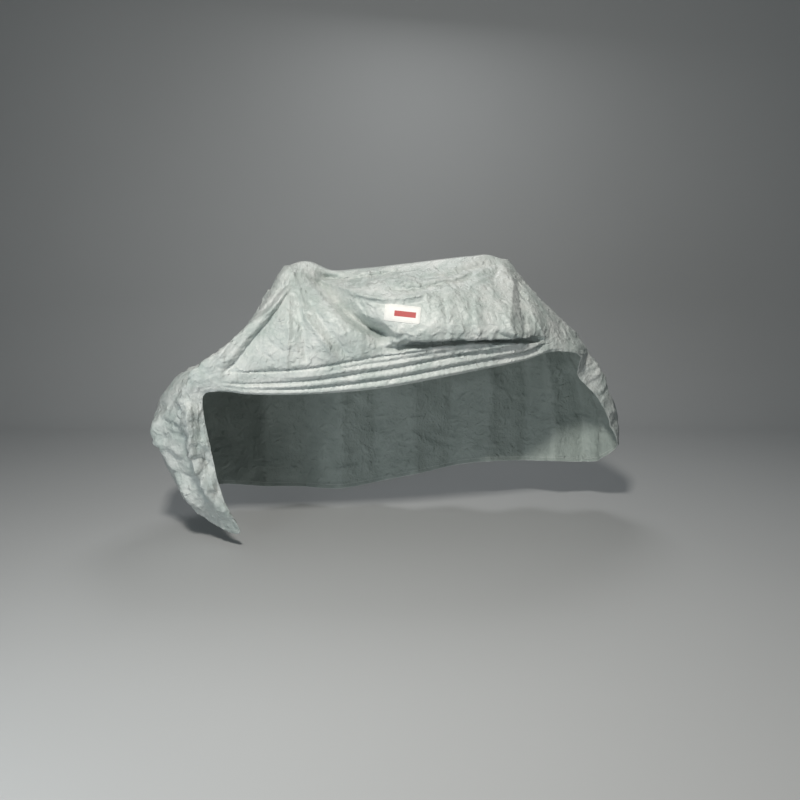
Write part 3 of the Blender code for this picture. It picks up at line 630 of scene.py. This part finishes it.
def hem_height(points, hem):
    """Height in metres of the rolled hem: a half ellipse across it, puckered along it by noise."""
    above = up_the_cloth(points)
    across = np.clip(above / hem, 0.0, 1.0)
    roll = np.sqrt(np.clip(1.0 - (2.0 * across - 1.0) ** 2, 0.0, 1.0))
    pucker = lattice_noise(points / (HEM_PUCKER * CM), CRINKLE_SEED + 1)
    return (HEM_ROLL * roll + HEM_PUCKER_DEPTH * pucker * np.exp(-((above / (2.0 * hem)) ** 2))) * CM


def band_share(turns, heights):
    """1 in the gathered band along the near hem and 0 off it, with a smooth upper edge."""
    band = between(turns, PLEATS_FROM - BAND_END, PLEATS_FROM, PLEATS_TO, PLEATS_TO + BAND_END)
    return band[:, None] * (1.0 - eased(heights, *BAND_TOP))


def near_any(points, places):
    """1 near any of the places, falling off as exp(-(distance / radius)^4)."""
    return np.max([nearness(points, place, 4) for place in places], axis=0)


def settle(points, turns, heights, context):
    """Points after Blender's cloth solver has buckled the sheet where it lies.

    The sheet is cut a little larger than its place and held softly in it, so that it crumples as a
    coated cloth does. A vertex is held as the fourth power of its weight. The ridge, the hem's edge and
    the patch's place keep still.
    """
    rows = int(np.searchsorted(heights, SETTLE_TOP))
    part = points[:, :rows]
    columns = len(part)
    loose, taut = near_any(part, LOOSE), near_any(part, TAUT)
    hold = SETTLE_HOLD + (SETTLE_LOOSE - SETTLE_HOLD) * loose
    hold = np.maximum(hold, TAUT_HOLD * taut)
    pitch = np.gradient(up_the_cloth(part), axis=1)
    gathered = np.maximum(band_share(turns, heights[:rows]), 1.0 - eased(pitch, *GATHERED_PITCH))
    hold = np.maximum(hold, BAND_HOLD * gathered)
    hold[:, 0] = 1.0
    hold[:, 1] = SETTLE_EDGE
    hold = np.maximum(hold, eased(heights[:rows], SETTLE_CALM, SETTLE_TOP)[None, :])
    hold = np.maximum(hold, eased(label_nearness(part), *LABEL_HOLD))
    cells = grid_cells(columns, rows, loop=True)
    sheet = new_piece("settling_sheet", part, cells.tolist(), [])
    for name, weights in (("hold", hold), ("loose", loose)):
        group = sheet.vertex_groups.new(name=name)
        steps = np.round(weights.ravel() * HOLD_STEPS) / HOLD_STEPS
        for step in np.unique(steps):
            group.add(np.nonzero(steps == step)[0].tolist(), float(step), "REPLACE")
    cloth = sheet.modifiers.new("settle", "CLOTH")
    for name, value in SOLVER.items():
        setattr(cloth.settings, name, value)
    cloth.settings.effector_weights.gravity = 0.0
    cloth.collision_settings.use_collision = cloth.collision_settings.use_self_collision = False
    cloth.point_cache.frame_start, cloth.point_cache.frame_end = 1, SETTLE_FRAMES
    for number in range(1, SETTLE_FRAMES + 1):
        context.scene.frame_set(number)
    evaluated = sheet.evaluated_get(context.evaluated_depsgraph_get())
    moved = np.empty(columns * rows * 3, np.float32)
    evaluated.to_mesh().vertices.foreach_get("co", moved)
    evaluated.to_mesh_clear()
    if not np.isfinite(moved).all() or np.allclose(moved.reshape(part.shape), part, atol=1e-5):
        raise RuntimeError("the cloth solver moved nothing")
    context.scene.frame_set(1)
    mesh = sheet.data
    bpy.data.objects.remove(sheet)
    bpy.data.meshes.remove(mesh)
    settled = points.copy()
    settled[:, :rows] = moved.reshape(part.shape)
    return settled


# ---- Meshes ----


def grid_cells(columns, rows, loop=False):
    """Quads of a grid, as vertex numbers column * rows + row. A loop closes round its columns."""
    i, j = np.meshgrid(np.arange(columns if loop else columns - 1), np.arange(rows - 1), indexing="ij")
    k = (i + 1) % columns
    return np.stack([i * rows + j, k * rows + j, k * rows + j + 1, i * rows + j + 1], axis=2).reshape(-1, 4)


def new_piece(name, vertices, faces, materials, face_materials=None, uvs=None):
    """One mesh object at the origin, from whole arrays of vertices and a list of faces."""
    mesh = bpy.data.meshes.new(name)
    mesh.from_pydata(vertices.reshape(-1, 3).tolist(), [], faces)
    if uvs is not None:
        layer = mesh.uv_layers.new(name="cloth")
        layer.data.foreach_set("uv", np.ascontiguousarray(uvs, np.float32).ravel())
    if face_materials is not None:
        mesh.polygons.foreach_set("material_index", np.asarray(face_materials, np.int32))
    for material in materials:
        mesh.materials.append(material)
    piece = bpy.data.objects.new(name, mesh)
    bpy.context.scene.collection.objects.link(piece)
    return piece


def close_seams(piece, within=2e-5):
    """Merge vertices that lie on each other, and shade the piece smooth."""
    work = bmesh.new()
    work.from_mesh(piece.data)
    bmesh.ops.remove_doubles(work, verts=work.verts, dist=within)
    work.to_mesh(piece.data)
    work.free()
    piece.data.shade_smooth()
    piece.data.update()


def ridge_faces(near_count, columns, rows, offset, middle):
    """Faces between the ridge loop and its middle line: quads on the near side, fans on the far side."""
    top = np.arange(columns) * rows + rows - 1 + offset
    k = np.arange(near_count)
    near = np.stack([top[k], top[k + 1], middle + k + 1, middle + k], axis=1)
    b = np.arange(near_count // NEAR_PER_FAR)
    fan = [middle + b * NEAR_PER_FAR + step for step in range(NEAR_PER_FAR + 1)]
    return near, np.stack([top[(columns - b - 1) % columns], top[(columns - b) % columns]] + fan, axis=1)


def shell_mesh(points, thick):
    """Vertices and faces of the closed sheet: outer side, inner side, a round edge and a closed ridge."""
    columns, rows = points.shape[:2]
    near_count = NEAR_COLUMNS[-1][0]
    # Way through the sheet: its own normals, averaged so that they don't cross in a tight fold.
    through_it = outward(points)
    for _ in range(THROUGH_PASSES):
        through_it = through_it + np.roll(through_it, 1, axis=0) + np.roll(through_it, -1, axis=0)
        through_it[:, 1:-1] = through_it[:, :-2] + through_it[:, 1:-1] + through_it[:, 2:]
        through_it /= np.linalg.norm(through_it, axis=2, keepdims=True)
    inner = points - through_it * thick[:, :, None]
    middle = ridge_line(column_turns()[: near_count + 1])
    width = np.clip((points[: near_count + 1, -1, 1] - middle[:, 1]) / -RIDGE_HALF_WIDTH, 0.0, 1.0)
    middle[:, 2] += RIDGE_CROWN * width
    inner_middle = middle - np.array((0.0, 0.0, thick[0, -1]))
    sheet = columns * rows
    vertices = np.concatenate([points.reshape(-1, 3), inner.reshape(-1, 3), middle, inner_middle])
    # Places on the flat cloth: run along the hem and rise above it, in metres.
    hem = points[:, 0]
    steps = np.linalg.norm(np.roll(hem, -1, axis=0) - hem, axis=1)
    run = np.concatenate([[0.0], np.cumsum(steps)[:-1]])
    rise = up_the_cloth(points)
    flat = np.stack([np.broadcast_to(run[:, None], rise.shape), rise], axis=2)
    crown = flat[: near_count + 1, -1] + np.array((0.0, RIDGE_HALF_WIDTH))
    flat = np.concatenate([flat.reshape(-1, 2)] * 2 + [crown] * 2 + [flat[:, 0]] * (EDGE_STEPS - 1))
    cells = grid_cells(columns, rows, loop=True)
    near, far = ridge_faces(near_count, columns, rows, 0, 2 * sheet)
    near_in, far_in = ridge_faces(near_count, columns, rows, sheet, 2 * sheet + near_count + 1)
    # Round edge of the hem: a half circle of more rings between the two sides.
    down = points[:, 0] - points[:, 1]
    down /= np.linalg.norm(down, axis=1, keepdims=True)
    centre, half = 0.5 * (hem + inner[:, 0]), 0.5 * (hem - inner[:, 0])
    radius = np.linalg.norm(half, axis=1, keepdims=True)
    round_it = np.arange(columns)
    starts = [round_it * rows]
    for angle in np.arange(1, EDGE_STEPS) * np.pi / EDGE_STEPS:
        starts.append(len(vertices) + round_it)
        vertices = np.concatenate([vertices, centre + half * np.cos(angle) + down * radius * np.sin(angle)])
    starts.append(sheet + round_it * rows)
    edge = np.concatenate(
        [np.stack([np.roll(a, -1), a, b, np.roll(b, -1)], axis=1) for a, b in zip(starts, starts[1:])]
    )
    outer_faces = [tuple(f) for part in (cells, near, far, edge) for f in part.tolist()]
    # An inner face starts at the same corner as its outer one, so that both are cut along one diagonal.
    inner_faces = [(f[0], *f[:0:-1]) for part in (cells + sheet, near_in, far_in) for f in part.tolist()]
    return vertices - REST_POINT, outer_faces, inner_faces, flat, steps.sum()


def corner_places(faces, flat, whole_run):
    """The flat place of each corner of each face. A face across the end of the run keeps it going on."""
    counts = np.array([len(face) for face in faces])
    corners = flat[np.concatenate([np.asarray(face) for face in faces])].copy()
    starts = np.concatenate([[0], np.cumsum(counts)[:-1]])
    most = np.repeat(np.maximum.reduceat(corners[:, 0], starts), counts)
    corners[:, 0] += whole_run * ((most > 0.9 * whole_run) & (corners[:, 0] < 0.1 * whole_run))
    return corners


def label_grid():
    """The flat patch in front of the cover, as a grid with rounded corners, and its cells."""
    across, down = LABEL_CELLS
    u, v = np.meshgrid(np.linspace(-0.5, 0.5, across + 1), np.linspace(-0.5, 0.5, down + 1), indexing="ij")
    # Near its top and bottom a row is shorter by what the corner's circle leaves out.
    into = np.clip(np.abs(v) * LABEL_SIZE[1] - 0.5 * LABEL_SIZE[1] + LABEL_CORNER, 0.0, LABEL_CORNER)
    width = LABEL_SIZE[0] - 2.0 * (LABEL_CORNER - np.sqrt(LABEL_CORNER**2 - into**2))
    flat_x, flat_z = width * u, LABEL_SIZE[1] * v
    tilt = np.radians(-LABEL_TILT)
    x = LABEL_CENTRE[0] - REST_POINT[0] + flat_x * np.cos(tilt) - flat_z * np.sin(tilt)
    z = LABEL_CENTRE[1] - REST_POINT[2] + flat_x * np.sin(tilt) + flat_z * np.cos(tilt)
    return np.stack([x, np.full_like(x, LABEL_AHEAD), z], axis=2), grid_cells(across + 1, down + 1)


def stitch_tubes(front, normal, first):
    """Vertices, walls and end caps of the patch's stitches, numbered from first.

    The sewn line is a rectangle inside the rim, walked at even steps, and each step is one thread: a
    tube whose radius falls to its ends as sqrt(1 - s^2).
    """
    cells = np.array(LABEL_CELLS)
    corners = np.array(((-1, -1), (1, -1), (1, 1), (-1, 1), (-1, -1)))
    corners = corners * (np.array(LABEL_SIZE) * 0.5 - LABEL_INSET)
    length = np.concatenate([[0.0], np.cumsum(np.abs(np.diff(corners, axis=0)).sum(axis=1))])
    number = int(length[-1] / STITCH_PITCH)
    middle = (np.arange(number) + 0.5) * length[-1] / number
    ends = []
    for off in np.linspace(-0.5, 0.5, STITCH_RINGS) * STITCH_LENGTH:
        flat = np.stack([np.interp(middle + off, length, corners[:, k]) for k in (0, 1)], axis=1)
        cell = (flat / LABEL_SIZE + 0.5) * cells
        whole = np.minimum(cell.astype(int), cells - 1)
        part = cell - whole
        ends.append(sum(
            front[whole[:, 0] + a, whole[:, 1] + b]
            * (np.abs(1 - a - part[:, :1]) * np.abs(1 - b - part[:, 1:]))
            for a in (0, 1)
            for b in (0, 1)
        ))
    spine = np.stack(ends, axis=1)
    up = normal[whole[:, 0], whole[:, 1]][:, None]
    way = spine[:, -1:] - spine[:, :1]
    side = np.cross(up, way / np.linalg.norm(way, axis=2, keepdims=True))
    size = STITCH_RADIUS * np.sqrt(1.0 - np.linspace(-STITCH_TIP, STITCH_TIP, STITCH_RINGS) ** 2)
    angle = (np.arange(STITCH_SIDES) * 2.0 * np.pi / STITCH_SIDES)[None, None, :, None]
    rings = side[:, :, None] * np.cos(angle) + up[:, :, None] * np.sin(angle)
    tubes = spine[:, :, None] + rings * size[None, :, None, None]
    starts = first + np.arange(number)[:, None, None] * STITCH_RINGS * STITCH_SIDES
    ring = starts + np.arange(STITCH_RINGS - 1)[None, :, None] * STITCH_SIDES
    near, far = np.arange(STITCH_SIDES), (np.arange(STITCH_SIDES) + 1) % STITCH_SIDES
    walls = [ring + near, ring + near + STITCH_SIDES, ring + far + STITCH_SIDES, ring + far]
    last = (STITCH_RINGS - 1) * STITCH_SIDES
    caps = np.concatenate([starts[:, 0] + near, (starts[:, 0] + near + last)[:, ::-1]])
    return tubes.reshape(-1, 3), np.stack(walls, axis=3).reshape(-1, 4), caps


def label_mesh(laid, cells):
    """Vertices, faces and material numbers of the patch: its two sides, its rim, and its stitches."""
    across, down = LABEL_CELLS
    normal = np.cross(np.gradient(laid, axis=0), np.gradient(laid, axis=1))
    normal /= np.linalg.norm(normal, axis=2, keepdims=True)
    share_u, share_v = np.meshgrid(np.linspace(0, 1, across + 1), np.linspace(0, 1, down + 1), indexing="ij")
    from_side = np.minimum(share_u, 1.0 - share_u) * LABEL_SIZE[0]
    edge = np.minimum(from_side, np.minimum(share_v, 1.0 - share_v) * LABEL_SIZE[1])
    # The middle stands a little above the rim, and the sewn line presses a groove between them.
    lift = LABEL_THICK + LABEL_PUFF * eased(edge, LABEL_INSET, 3.0 * LABEL_INSET)
    lift -= LABEL_GROOVE * LABEL_THICK * np.exp(-(((edge - LABEL_INSET) / (0.4 * LABEL_INSET)) ** 2))
    back = laid + normal * LABEL_GAP
    front = back + normal * lift[:, :, None]
    count = (across + 1) * (down + 1)
    number = np.arange(count).reshape(across + 1, down + 1)
    rim = np.concatenate([number[:-1, 0], number[-1, :-1], number[:0:-1, -1], number[0, :0:-1]])
    rim = np.stack([np.roll(rim, -1), rim, rim + count, np.roll(rim, -1) + count], axis=1)
    cell_u = 0.5 * (share_u[:-1, :-1] + share_u[1:, 1:]) - 0.5
    cell_v = 0.5 * (share_v[:-1, :-1] + share_v[1:, 1:]) - 0.5
    bar = (np.abs(cell_u - LABEL_BAR[0]) < LABEL_BAR[2]) & (np.abs(cell_v - LABEL_BAR[1]) < LABEL_BAR[3])
    tubes, walls, caps = stitch_tubes(front, normal, 2 * count)
    vertices = np.concatenate([front.reshape(-1, 3), back.reshape(-1, 3), tubes])
    groups = ((cells, bar.ravel()), (cells[:, ::-1] + count, 0), (rim, 0), (walls, 2), (caps, 2))
    faces = [tuple(face) for group, _ in groups for face in group.tolist()]
    parts = np.concatenate([np.broadcast_to(np.asarray(part, int), len(group)) for group, part in groups])
    return vertices, faces, parts


# ---- Materials ----


def to_linear(code):
    """Linear RGBA of an sRGB hex code."""
    srgb = [int(code[k : k + 2], 16) / 255.0 for k in (0, 2, 4)]
    return tuple(c / 12.92 if c <= 0.04045 else ((c + 0.055) / 1.055) ** 2.4 for c in srgb) + (1.0,)


def add_node(tree, kind, settings=None, **links):
    """A node with its settings. Numbers and colours go to its inputs, and links name sockets to join."""
    node = tree.nodes.new(kind)
    for name, value in (settings or {}).items():
        if name in node.inputs:
            node.inputs[name].default_value = value
        else:
            setattr(node, name, value)
    for name, socket in links.items():
        tree.links.new(socket, node.inputs[name.replace("_", " ")])
    return node


def math_node(tree, operation, *inputs):
    """The value of a Math node. Each input is a number or a socket to join."""
    node = add_node(tree, "ShaderNodeMath", {"operation": operation})
    for socket, given in zip(node.inputs, inputs):
        if isinstance(given, float):
            socket.default_value = given
        else:
            tree.links.new(given, socket)
    return node.outputs["Value"]


def noise(tree, place, scale, detail, roughness=0.5, **settings):
    """The value of a noise texture at a place."""
    settings.update({"Scale": scale, "Detail": detail, "Roughness": roughness})
    return add_node(tree, "ShaderNodeTexNoise", settings, Vector=place).outputs["Fac"]


def threads(tree, place, scale, direction, distortion):
    """The value of a wave texture that stands for threads side by side."""
    settings = {"Scale": scale, "bands_direction": direction, "Distortion": distortion}
    return add_node(tree, "ShaderNodeTexWave", settings, Vector=place).outputs["Fac"]


def new_material(name, **constants):
    """An empty node material: itself, its tree, its shader, with these constants, and object places."""
    material = bpy.data.materials.new(name)
    material.use_nodes = True
    tree = material.node_tree
    shader = tree.nodes["Principled BSDF"]
    for socket, value in constants.items():
        shader.inputs[socket.replace("_", " ")].default_value = value
    return material, tree, shader, add_node(tree, "ShaderNodeTexCoord").outputs["Object"]


def mottle(tree, shader, code, place, scale, detail, share):
    """Base colour from an sRGB hex code, with this share of it darkened by noise."""
    settings = {"blend_type": "MULTIPLY", "Fac": share, "Color1": to_linear(code)}
    tint = add_node(tree, "ShaderNodeMixRGB", settings)
    tree.links.new(noise(tree, place, scale, detail), tint.inputs["Color2"])
    tree.links.new(tint.outputs["Color"], shader.inputs["Base Color"])


def stitch_line(tree, flat, rise, half, pitch, share):
    """1 on the dashes of a sewn line and 0 off them.

    It runs at this rise above the hem, and has this half width, pitch, and dash as a share of the pitch.
    """
    parts = add_node(tree, "ShaderNodeSeparateXYZ", Vector=flat)
    line = math_node(tree, "COMPARE", parts.outputs["Y"], rise, half)
    along = math_node(tree, "MODULO", parts.outputs["X"], pitch)
    return math_node(tree, "MULTIPLY", line, math_node(tree, "LESS_THAN", along, share * pitch))


def stack_bumps(tree, shader, layers):
    """Bump layers one on another: (height socket, strength, distance in metres)."""
    bump = None
    for height, strength, depth in layers:
        below = {} if bump is None else {"Normal": bump.outputs["Normal"]}
        settings = {"Strength": strength, "Distance": depth}
        bump = add_node(tree, "ShaderNodeBump", settings, Height=height, **below)
    tree.links.new(bump.outputs["Normal"], shader.inputs["Normal"])


def coated_cloth(name, light, dark, roughness, coat):
    """Polyurethane-coated polyester taffeta: woven, then coated and calendered.

    The coating gives a soft broad gloss and keeps every crease, and the weave under it only just shows.
    """
    material, tree, shader, place = new_material(
        name, IOR=1.46, Sheen_Weight=0.08, Sheen_Roughness=0.5, Coat_Weight=coat, Coat_Roughness=0.3
    )
    flat = add_node(tree, "ShaderNodeUVMap", {"uv_map": "cloth"}).outputs["UV"]
    # Faint cloudy shade over 90 mm, as coating takes dye unevenly.
    ramp = add_node(tree, "ShaderNodeValToRGB", Fac=noise(tree, place, 11.0, 4.0, 0.6))
    for stop, position, code in zip(ramp.color_ramp.elements, (0.36, 0.66), (dark, light)):
        stop.position, stop.color = position, to_linear(code)
    # Crinkles: sharp ridges 30 mm and 12 mm apart, in a coating that doesn't stretch, and a soft grain
    # 8 mm across that also varies the gloss.
    ridged = {"noise_type": "RIDGED_MULTIFRACTAL", "Distortion": 0.5}
    crinkle = noise(tree, place, 32.0, 3.0, 0.7, **ridged)
    small_crinkle = noise(tree, place, 85.0, 3.0, 0.7, **ridged)
    soft = noise(tree, place, 120.0, 5.0, 0.65)
    # Sewn line 4 mm under the hem's top, in 4 mm stitches.
    stitch = stitch_line(tree, flat, 0.016, 0.0006, 0.004, 0.7)
    thread = add_node(
        tree, "ShaderNodeMixRGB", {"Color2": to_linear("e4e8e4")}, Fac=stitch, Color1=ramp.outputs["Color"]
    )
    tree.links.new(thread.outputs["Color"], shader.inputs["Base Color"])
    # Streaks 9 mm apart that run up the cloth, where it has hung from its folds.
    drawn = add_node(tree, "ShaderNodeMapping", {"Scale": (1.0, 0.22, 1.0)}, Vector=flat)
    streak = noise(tree, drawn.outputs["Vector"], 110.0, 4.0, 0.6)
    # Plain weave: threads 0.3 mm apart, drawn at 1.3 mm so that they show.
    weave = math_node(tree, "MULTIPLY", *(threads(tree, flat, 240.0, way, 0.4) for way in ("X", "Y")))
    stack_bumps(
        tree,
        shader,
        (
            (crinkle, 1.0, 0.0075),
            (small_crinkle, 1.0, 0.0024),
            (streak, 1.0, 0.0022),
            (soft, 0.5, 0.0016),
            (stitch, 0.8, 0.0004),
            (weave, 0.2, 0.0002),
        ),
    )
    gloss = {"To Min": roughness - 0.06, "To Max": roughness + 0.08}
    rough = add_node(tree, "ShaderNodeMapRange", gloss, Value=soft)
    tree.links.new(rough.outputs["Result"], shader.inputs["Roughness"])
    return material


def satin_weave(name, code, roughness):
    """Woven satin tape, heat-cut and sewn down: close matte threads with a slight grain."""
    material, tree, shader, place = new_material(name, Roughness=roughness)
    mottle(tree, shader, code, place, 60.0, 3.0, 0.12)
    stack_bumps(tree, shader, ((threads(tree, place, 260.0, "Z", 0.3), 0.25, 0.0002),))
    return material


def studio_paper(name, code):
    """Matte seamless background paper: an even pale grey with no gloss."""
    material, tree, shader, place = new_material(name, Roughness=0.9)
    mottle(tree, shader, code, place, 1.2, 2.0, 0.05)
    return material


# ---- Settings and operators ----


def length(name, description, default):
    return bpy.props.FloatProperty(name=name, description=description, default=default, unit="LENGTH")


def factor(name, description, default):
    return bpy.props.FloatProperty(name=name, description=description, default=default, subtype="FACTOR")


def colour(name, what, default):
    return bpy.props.StringProperty(name=name, description=f"sRGB hex code of {what}", default=default)


class CoverSettings(bpy.types.PropertyGroup):
    """Sizes and finishes of the cover that a user may change."""

    cloth_thickness: length("Cloth thickness", "Thickness of the sheet", 0.0010)
    hem_thickness: length("Hem thickness", "Thickness of the rolled hem", 0.0040)
    hem_height: length("Hem height", "Height of the rolled hem", 0.020)
    floor_drop: length("Floor drop", "Depth of the floor below the load's own base", 0.06)
    fold_strength: factor("Fold strength", "Share of each fold's full depth", 1.0)
    fall_roundness: factor("Fall roundness", "Small for sharp falls, large for round ones", 0.45)
    crinkle_strength: factor("Crinkle strength", "Share of the crinkles' full height", 1.0)
    cloth_colour: colour("Cloth colour", "the cloth's light parts", "ced2cf")
    cloth_shade: colour("Cloth shade", "the cloth's dark parts", "b0bab6")
    # The inside's two colours are darker than the outer cloth's: painted shade for the cover's inside.
    inside_light_painted_shade: colour("Inside colour", "the uncoated side's light parts", "a9b3ae")
    inside_dark_painted_shade: colour("Inside shade", "the uncoated side's dark parts", "9aa49f")
    label_colour: colour("Patch colour", "the patch", "eeeeea")
    thread_colour: colour("Thread colour", "the patch's stitches", "d8dad6")
    bar_colour: colour("Bar colour", "the plain bar on the patch", "b5322f")
    floor_colour: colour("Floor colour", "the floor and backdrop", "b9bbbc")


class COVER_OT_stage(bpy.types.Operator):
    """Camera at the photo's angle, a pale floor that sweeps up to a backdrop, and soft studio lights"""

    bl_idname = "cover.stage"
    bl_label = "Studio stage"

    def execute(self, context):
        settings = context.scene.cover
        # Sweep: a floor that turns up through a quarter circle into a wall, carried along x.
        angle = np.linspace(0.0, 0.5 * np.pi, BEND_CELLS + 1)
        y = np.concatenate([[FLOOR_NEAR], FLOOR_BACK + FLOOR_BEND * np.sin(angle), [FLOOR_BACK + FLOOR_BEND]])
        z = np.concatenate([[0.0], FLOOR_BEND * (1.0 - np.cos(angle)), [FLOOR_WALL]])
        z = z - REST_POINT[2] - settings.floor_drop
        x = np.linspace(-FLOOR_HALF, FLOOR_HALF, FLOOR_CELLS + 1)
        grid = np.stack([np.repeat(x, len(y)), np.tile(y, len(x)), np.tile(z, len(x))], axis=1)
        paper = studio_paper("seamless_paper", settings.floor_colour)
        sweep = new_piece("studio_sweep", grid, grid_cells(len(x), len(y)).tolist(), [paper])
        sweep.data.shade_smooth()

        lens = bpy.data.cameras.new("photo_camera")
        lens.sensor_width = 36.0
        lens.lens = FOCAL_PIXELS / PICTURE_PIXELS * lens.sensor_width
        camera = bpy.data.objects.new("photo_camera", lens)
        camera.location = CAMERA_PLACE - REST_POINT
        camera.rotation_euler = (np.radians(90.0 - CAMERA_TILT), 0.0, 0.0)
        context.scene.collection.objects.link(camera)
        context.scene.camera = camera

        for name, place, aim, size, power, tint in LIGHTS:
            light = bpy.data.lights.new(name, "AREA")
            light.shape = "SQUARE"
            light.size = size
            light.energy = power
            light.color = to_linear(tint)[:3]
            lamp = bpy.data.objects.new(name, light)
            lamp.location = place
            x, y, z = np.array(aim) - np.array(place)
            lamp.rotation_euler = (np.arctan2(np.hypot(x, y), -z), 0.0, np.arctan2(-x, y))
            context.scene.collection.objects.link(lamp)

        world = bpy.data.worlds.new("studio_world")
        world.use_nodes = True
        background = world.node_tree.nodes["Background"]
        background.inputs["Color"].default_value = to_linear(ROOM_COLOUR)
        background.inputs["Strength"].default_value = ROOM_STRENGTH
        context.scene.world = world
        context.scene.view_settings.view_transform = "Standard"
        return {"FINISHED"}


class COVER_OT_cloth(bpy.types.Operator):
    """The draped sheet with its hem, folds, gathers and crumples"""

    bl_idname = "cover.cloth"
    bl_label = "Draped cloth"

    def execute(self, context):
        settings = context.scene.cover
        points = cover_surface(settings)
        points = settle(points, column_turns(), row_heights(), context)
        above = up_the_cloth(points)
        rolled = 1.0 - eased(above, settings.hem_height, 1.2 * settings.hem_height)
        thick = settings.cloth_thickness + (settings.hem_thickness - settings.cloth_thickness) * rolled
        vertices, outer_faces, inner_faces, flat, whole_run = shell_mesh(points, thick)
        outer = coated_cloth(
            "coated_polyester_taffeta", settings.cloth_colour, settings.cloth_shade, 0.38, 0.12
        )
        # The inner side is this cloth in the darker inside colours, as painted shade of the cover's inside,
        # with a rougher finish and no coat.
        inner = coated_cloth(
            "uncoated_taffeta_back_painted_shade", settings.inside_light_painted_shade, settings.inside_dark_painted_shade, 0.60, 0.0
        )
        sides = [0] * len(outer_faces) + [1] * len(inner_faces)
        faces = outer_faces + inner_faces
        places = corner_places(faces, flat, whole_run)
        cover = new_piece("cover_cloth", vertices, faces, [outer, inner], sides, places)
        close_seams(cover)
        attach(cover, "root")
        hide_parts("cover")
        return {"FINISHED"}


class COVER_OT_label(bpy.types.Operator):
    """The blank white patch with a plain bar, its edge and its stitches"""

    bl_idname = "cover.label"
    bl_label = "Patch"

    def execute(self, context):
        settings = context.scene.cover
        front, cells = label_grid()
        patch = new_piece("label_patch_cloth", front, cells.tolist(), [])
        press = patch.modifiers.new("press", "SHRINKWRAP")
        press.target = bpy.data.objects["cover_cloth"]
        press.wrap_method = "PROJECT"
        press.use_project_x, press.use_project_y, press.use_project_z = False, True, False
        press.use_positive_direction, press.use_negative_direction = True, False
        evaluated = patch.evaluated_get(context.evaluated_depsgraph_get())
        laid = np.empty(front.size, np.float32)
        evaluated.data.vertices.foreach_get("co", laid)
        laid = laid.astype(float).reshape(front.shape)
        if np.allclose(laid, front):
            raise RuntimeError("the patch met no cloth")
        bpy.data.objects.remove(patch)
        vertices, faces, parts = label_mesh(laid, cells)
        materials = [
            satin_weave("woven_satin_tape", settings.label_colour, 0.5),
            satin_weave("dyed_satin_tape", settings.bar_colour, 0.5),
            satin_weave("spun_polyester_thread", settings.thread_colour, 0.7),
        ]
        patch = new_piece("label_patch_cloth", vertices, faces, materials, parts)
        patch.data.shade_smooth()
        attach(patch, "root")
        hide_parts("label_patch")
        return {"FINISHED"}


class COVER_PT_panel(bpy.types.Panel):
    """Sizes and steps of the bicycle cover"""

    bl_idname = "COVER_PT_panel"
    bl_label = "Bicycle cover"
    bl_space_type = "VIEW_3D"
    bl_region_type = "UI"
    bl_category = "Cover"

    def draw(self, context):
        for name in CoverSettings.__annotations__:
            self.layout.prop(context.scene.cover, name)
        for operator in OPERATORS:
            self.layout.operator(operator.bl_idname)


OPERATORS = (COVER_OT_stage, COVER_OT_cloth, COVER_OT_label)
CLASSES = (CoverSettings, *OPERATORS, COVER_PT_panel)


def register():
    for cls in CLASSES:
        bpy.utils.register_class(cls)
    bpy.types.Scene.cover = bpy.props.PointerProperty(type=CoverSettings)


def unregister():
    del bpy.types.Scene.cover
    for cls in reversed(CLASSES):
        bpy.utils.unregister_class(cls)


def main():
    register()
    bpy.ops.cover.stage()
    bpy.ops.cover.cloth()
    bpy.ops.cover.label()
    bpy.context.view_layer.update()


if __name__ == "__main__":
    main()
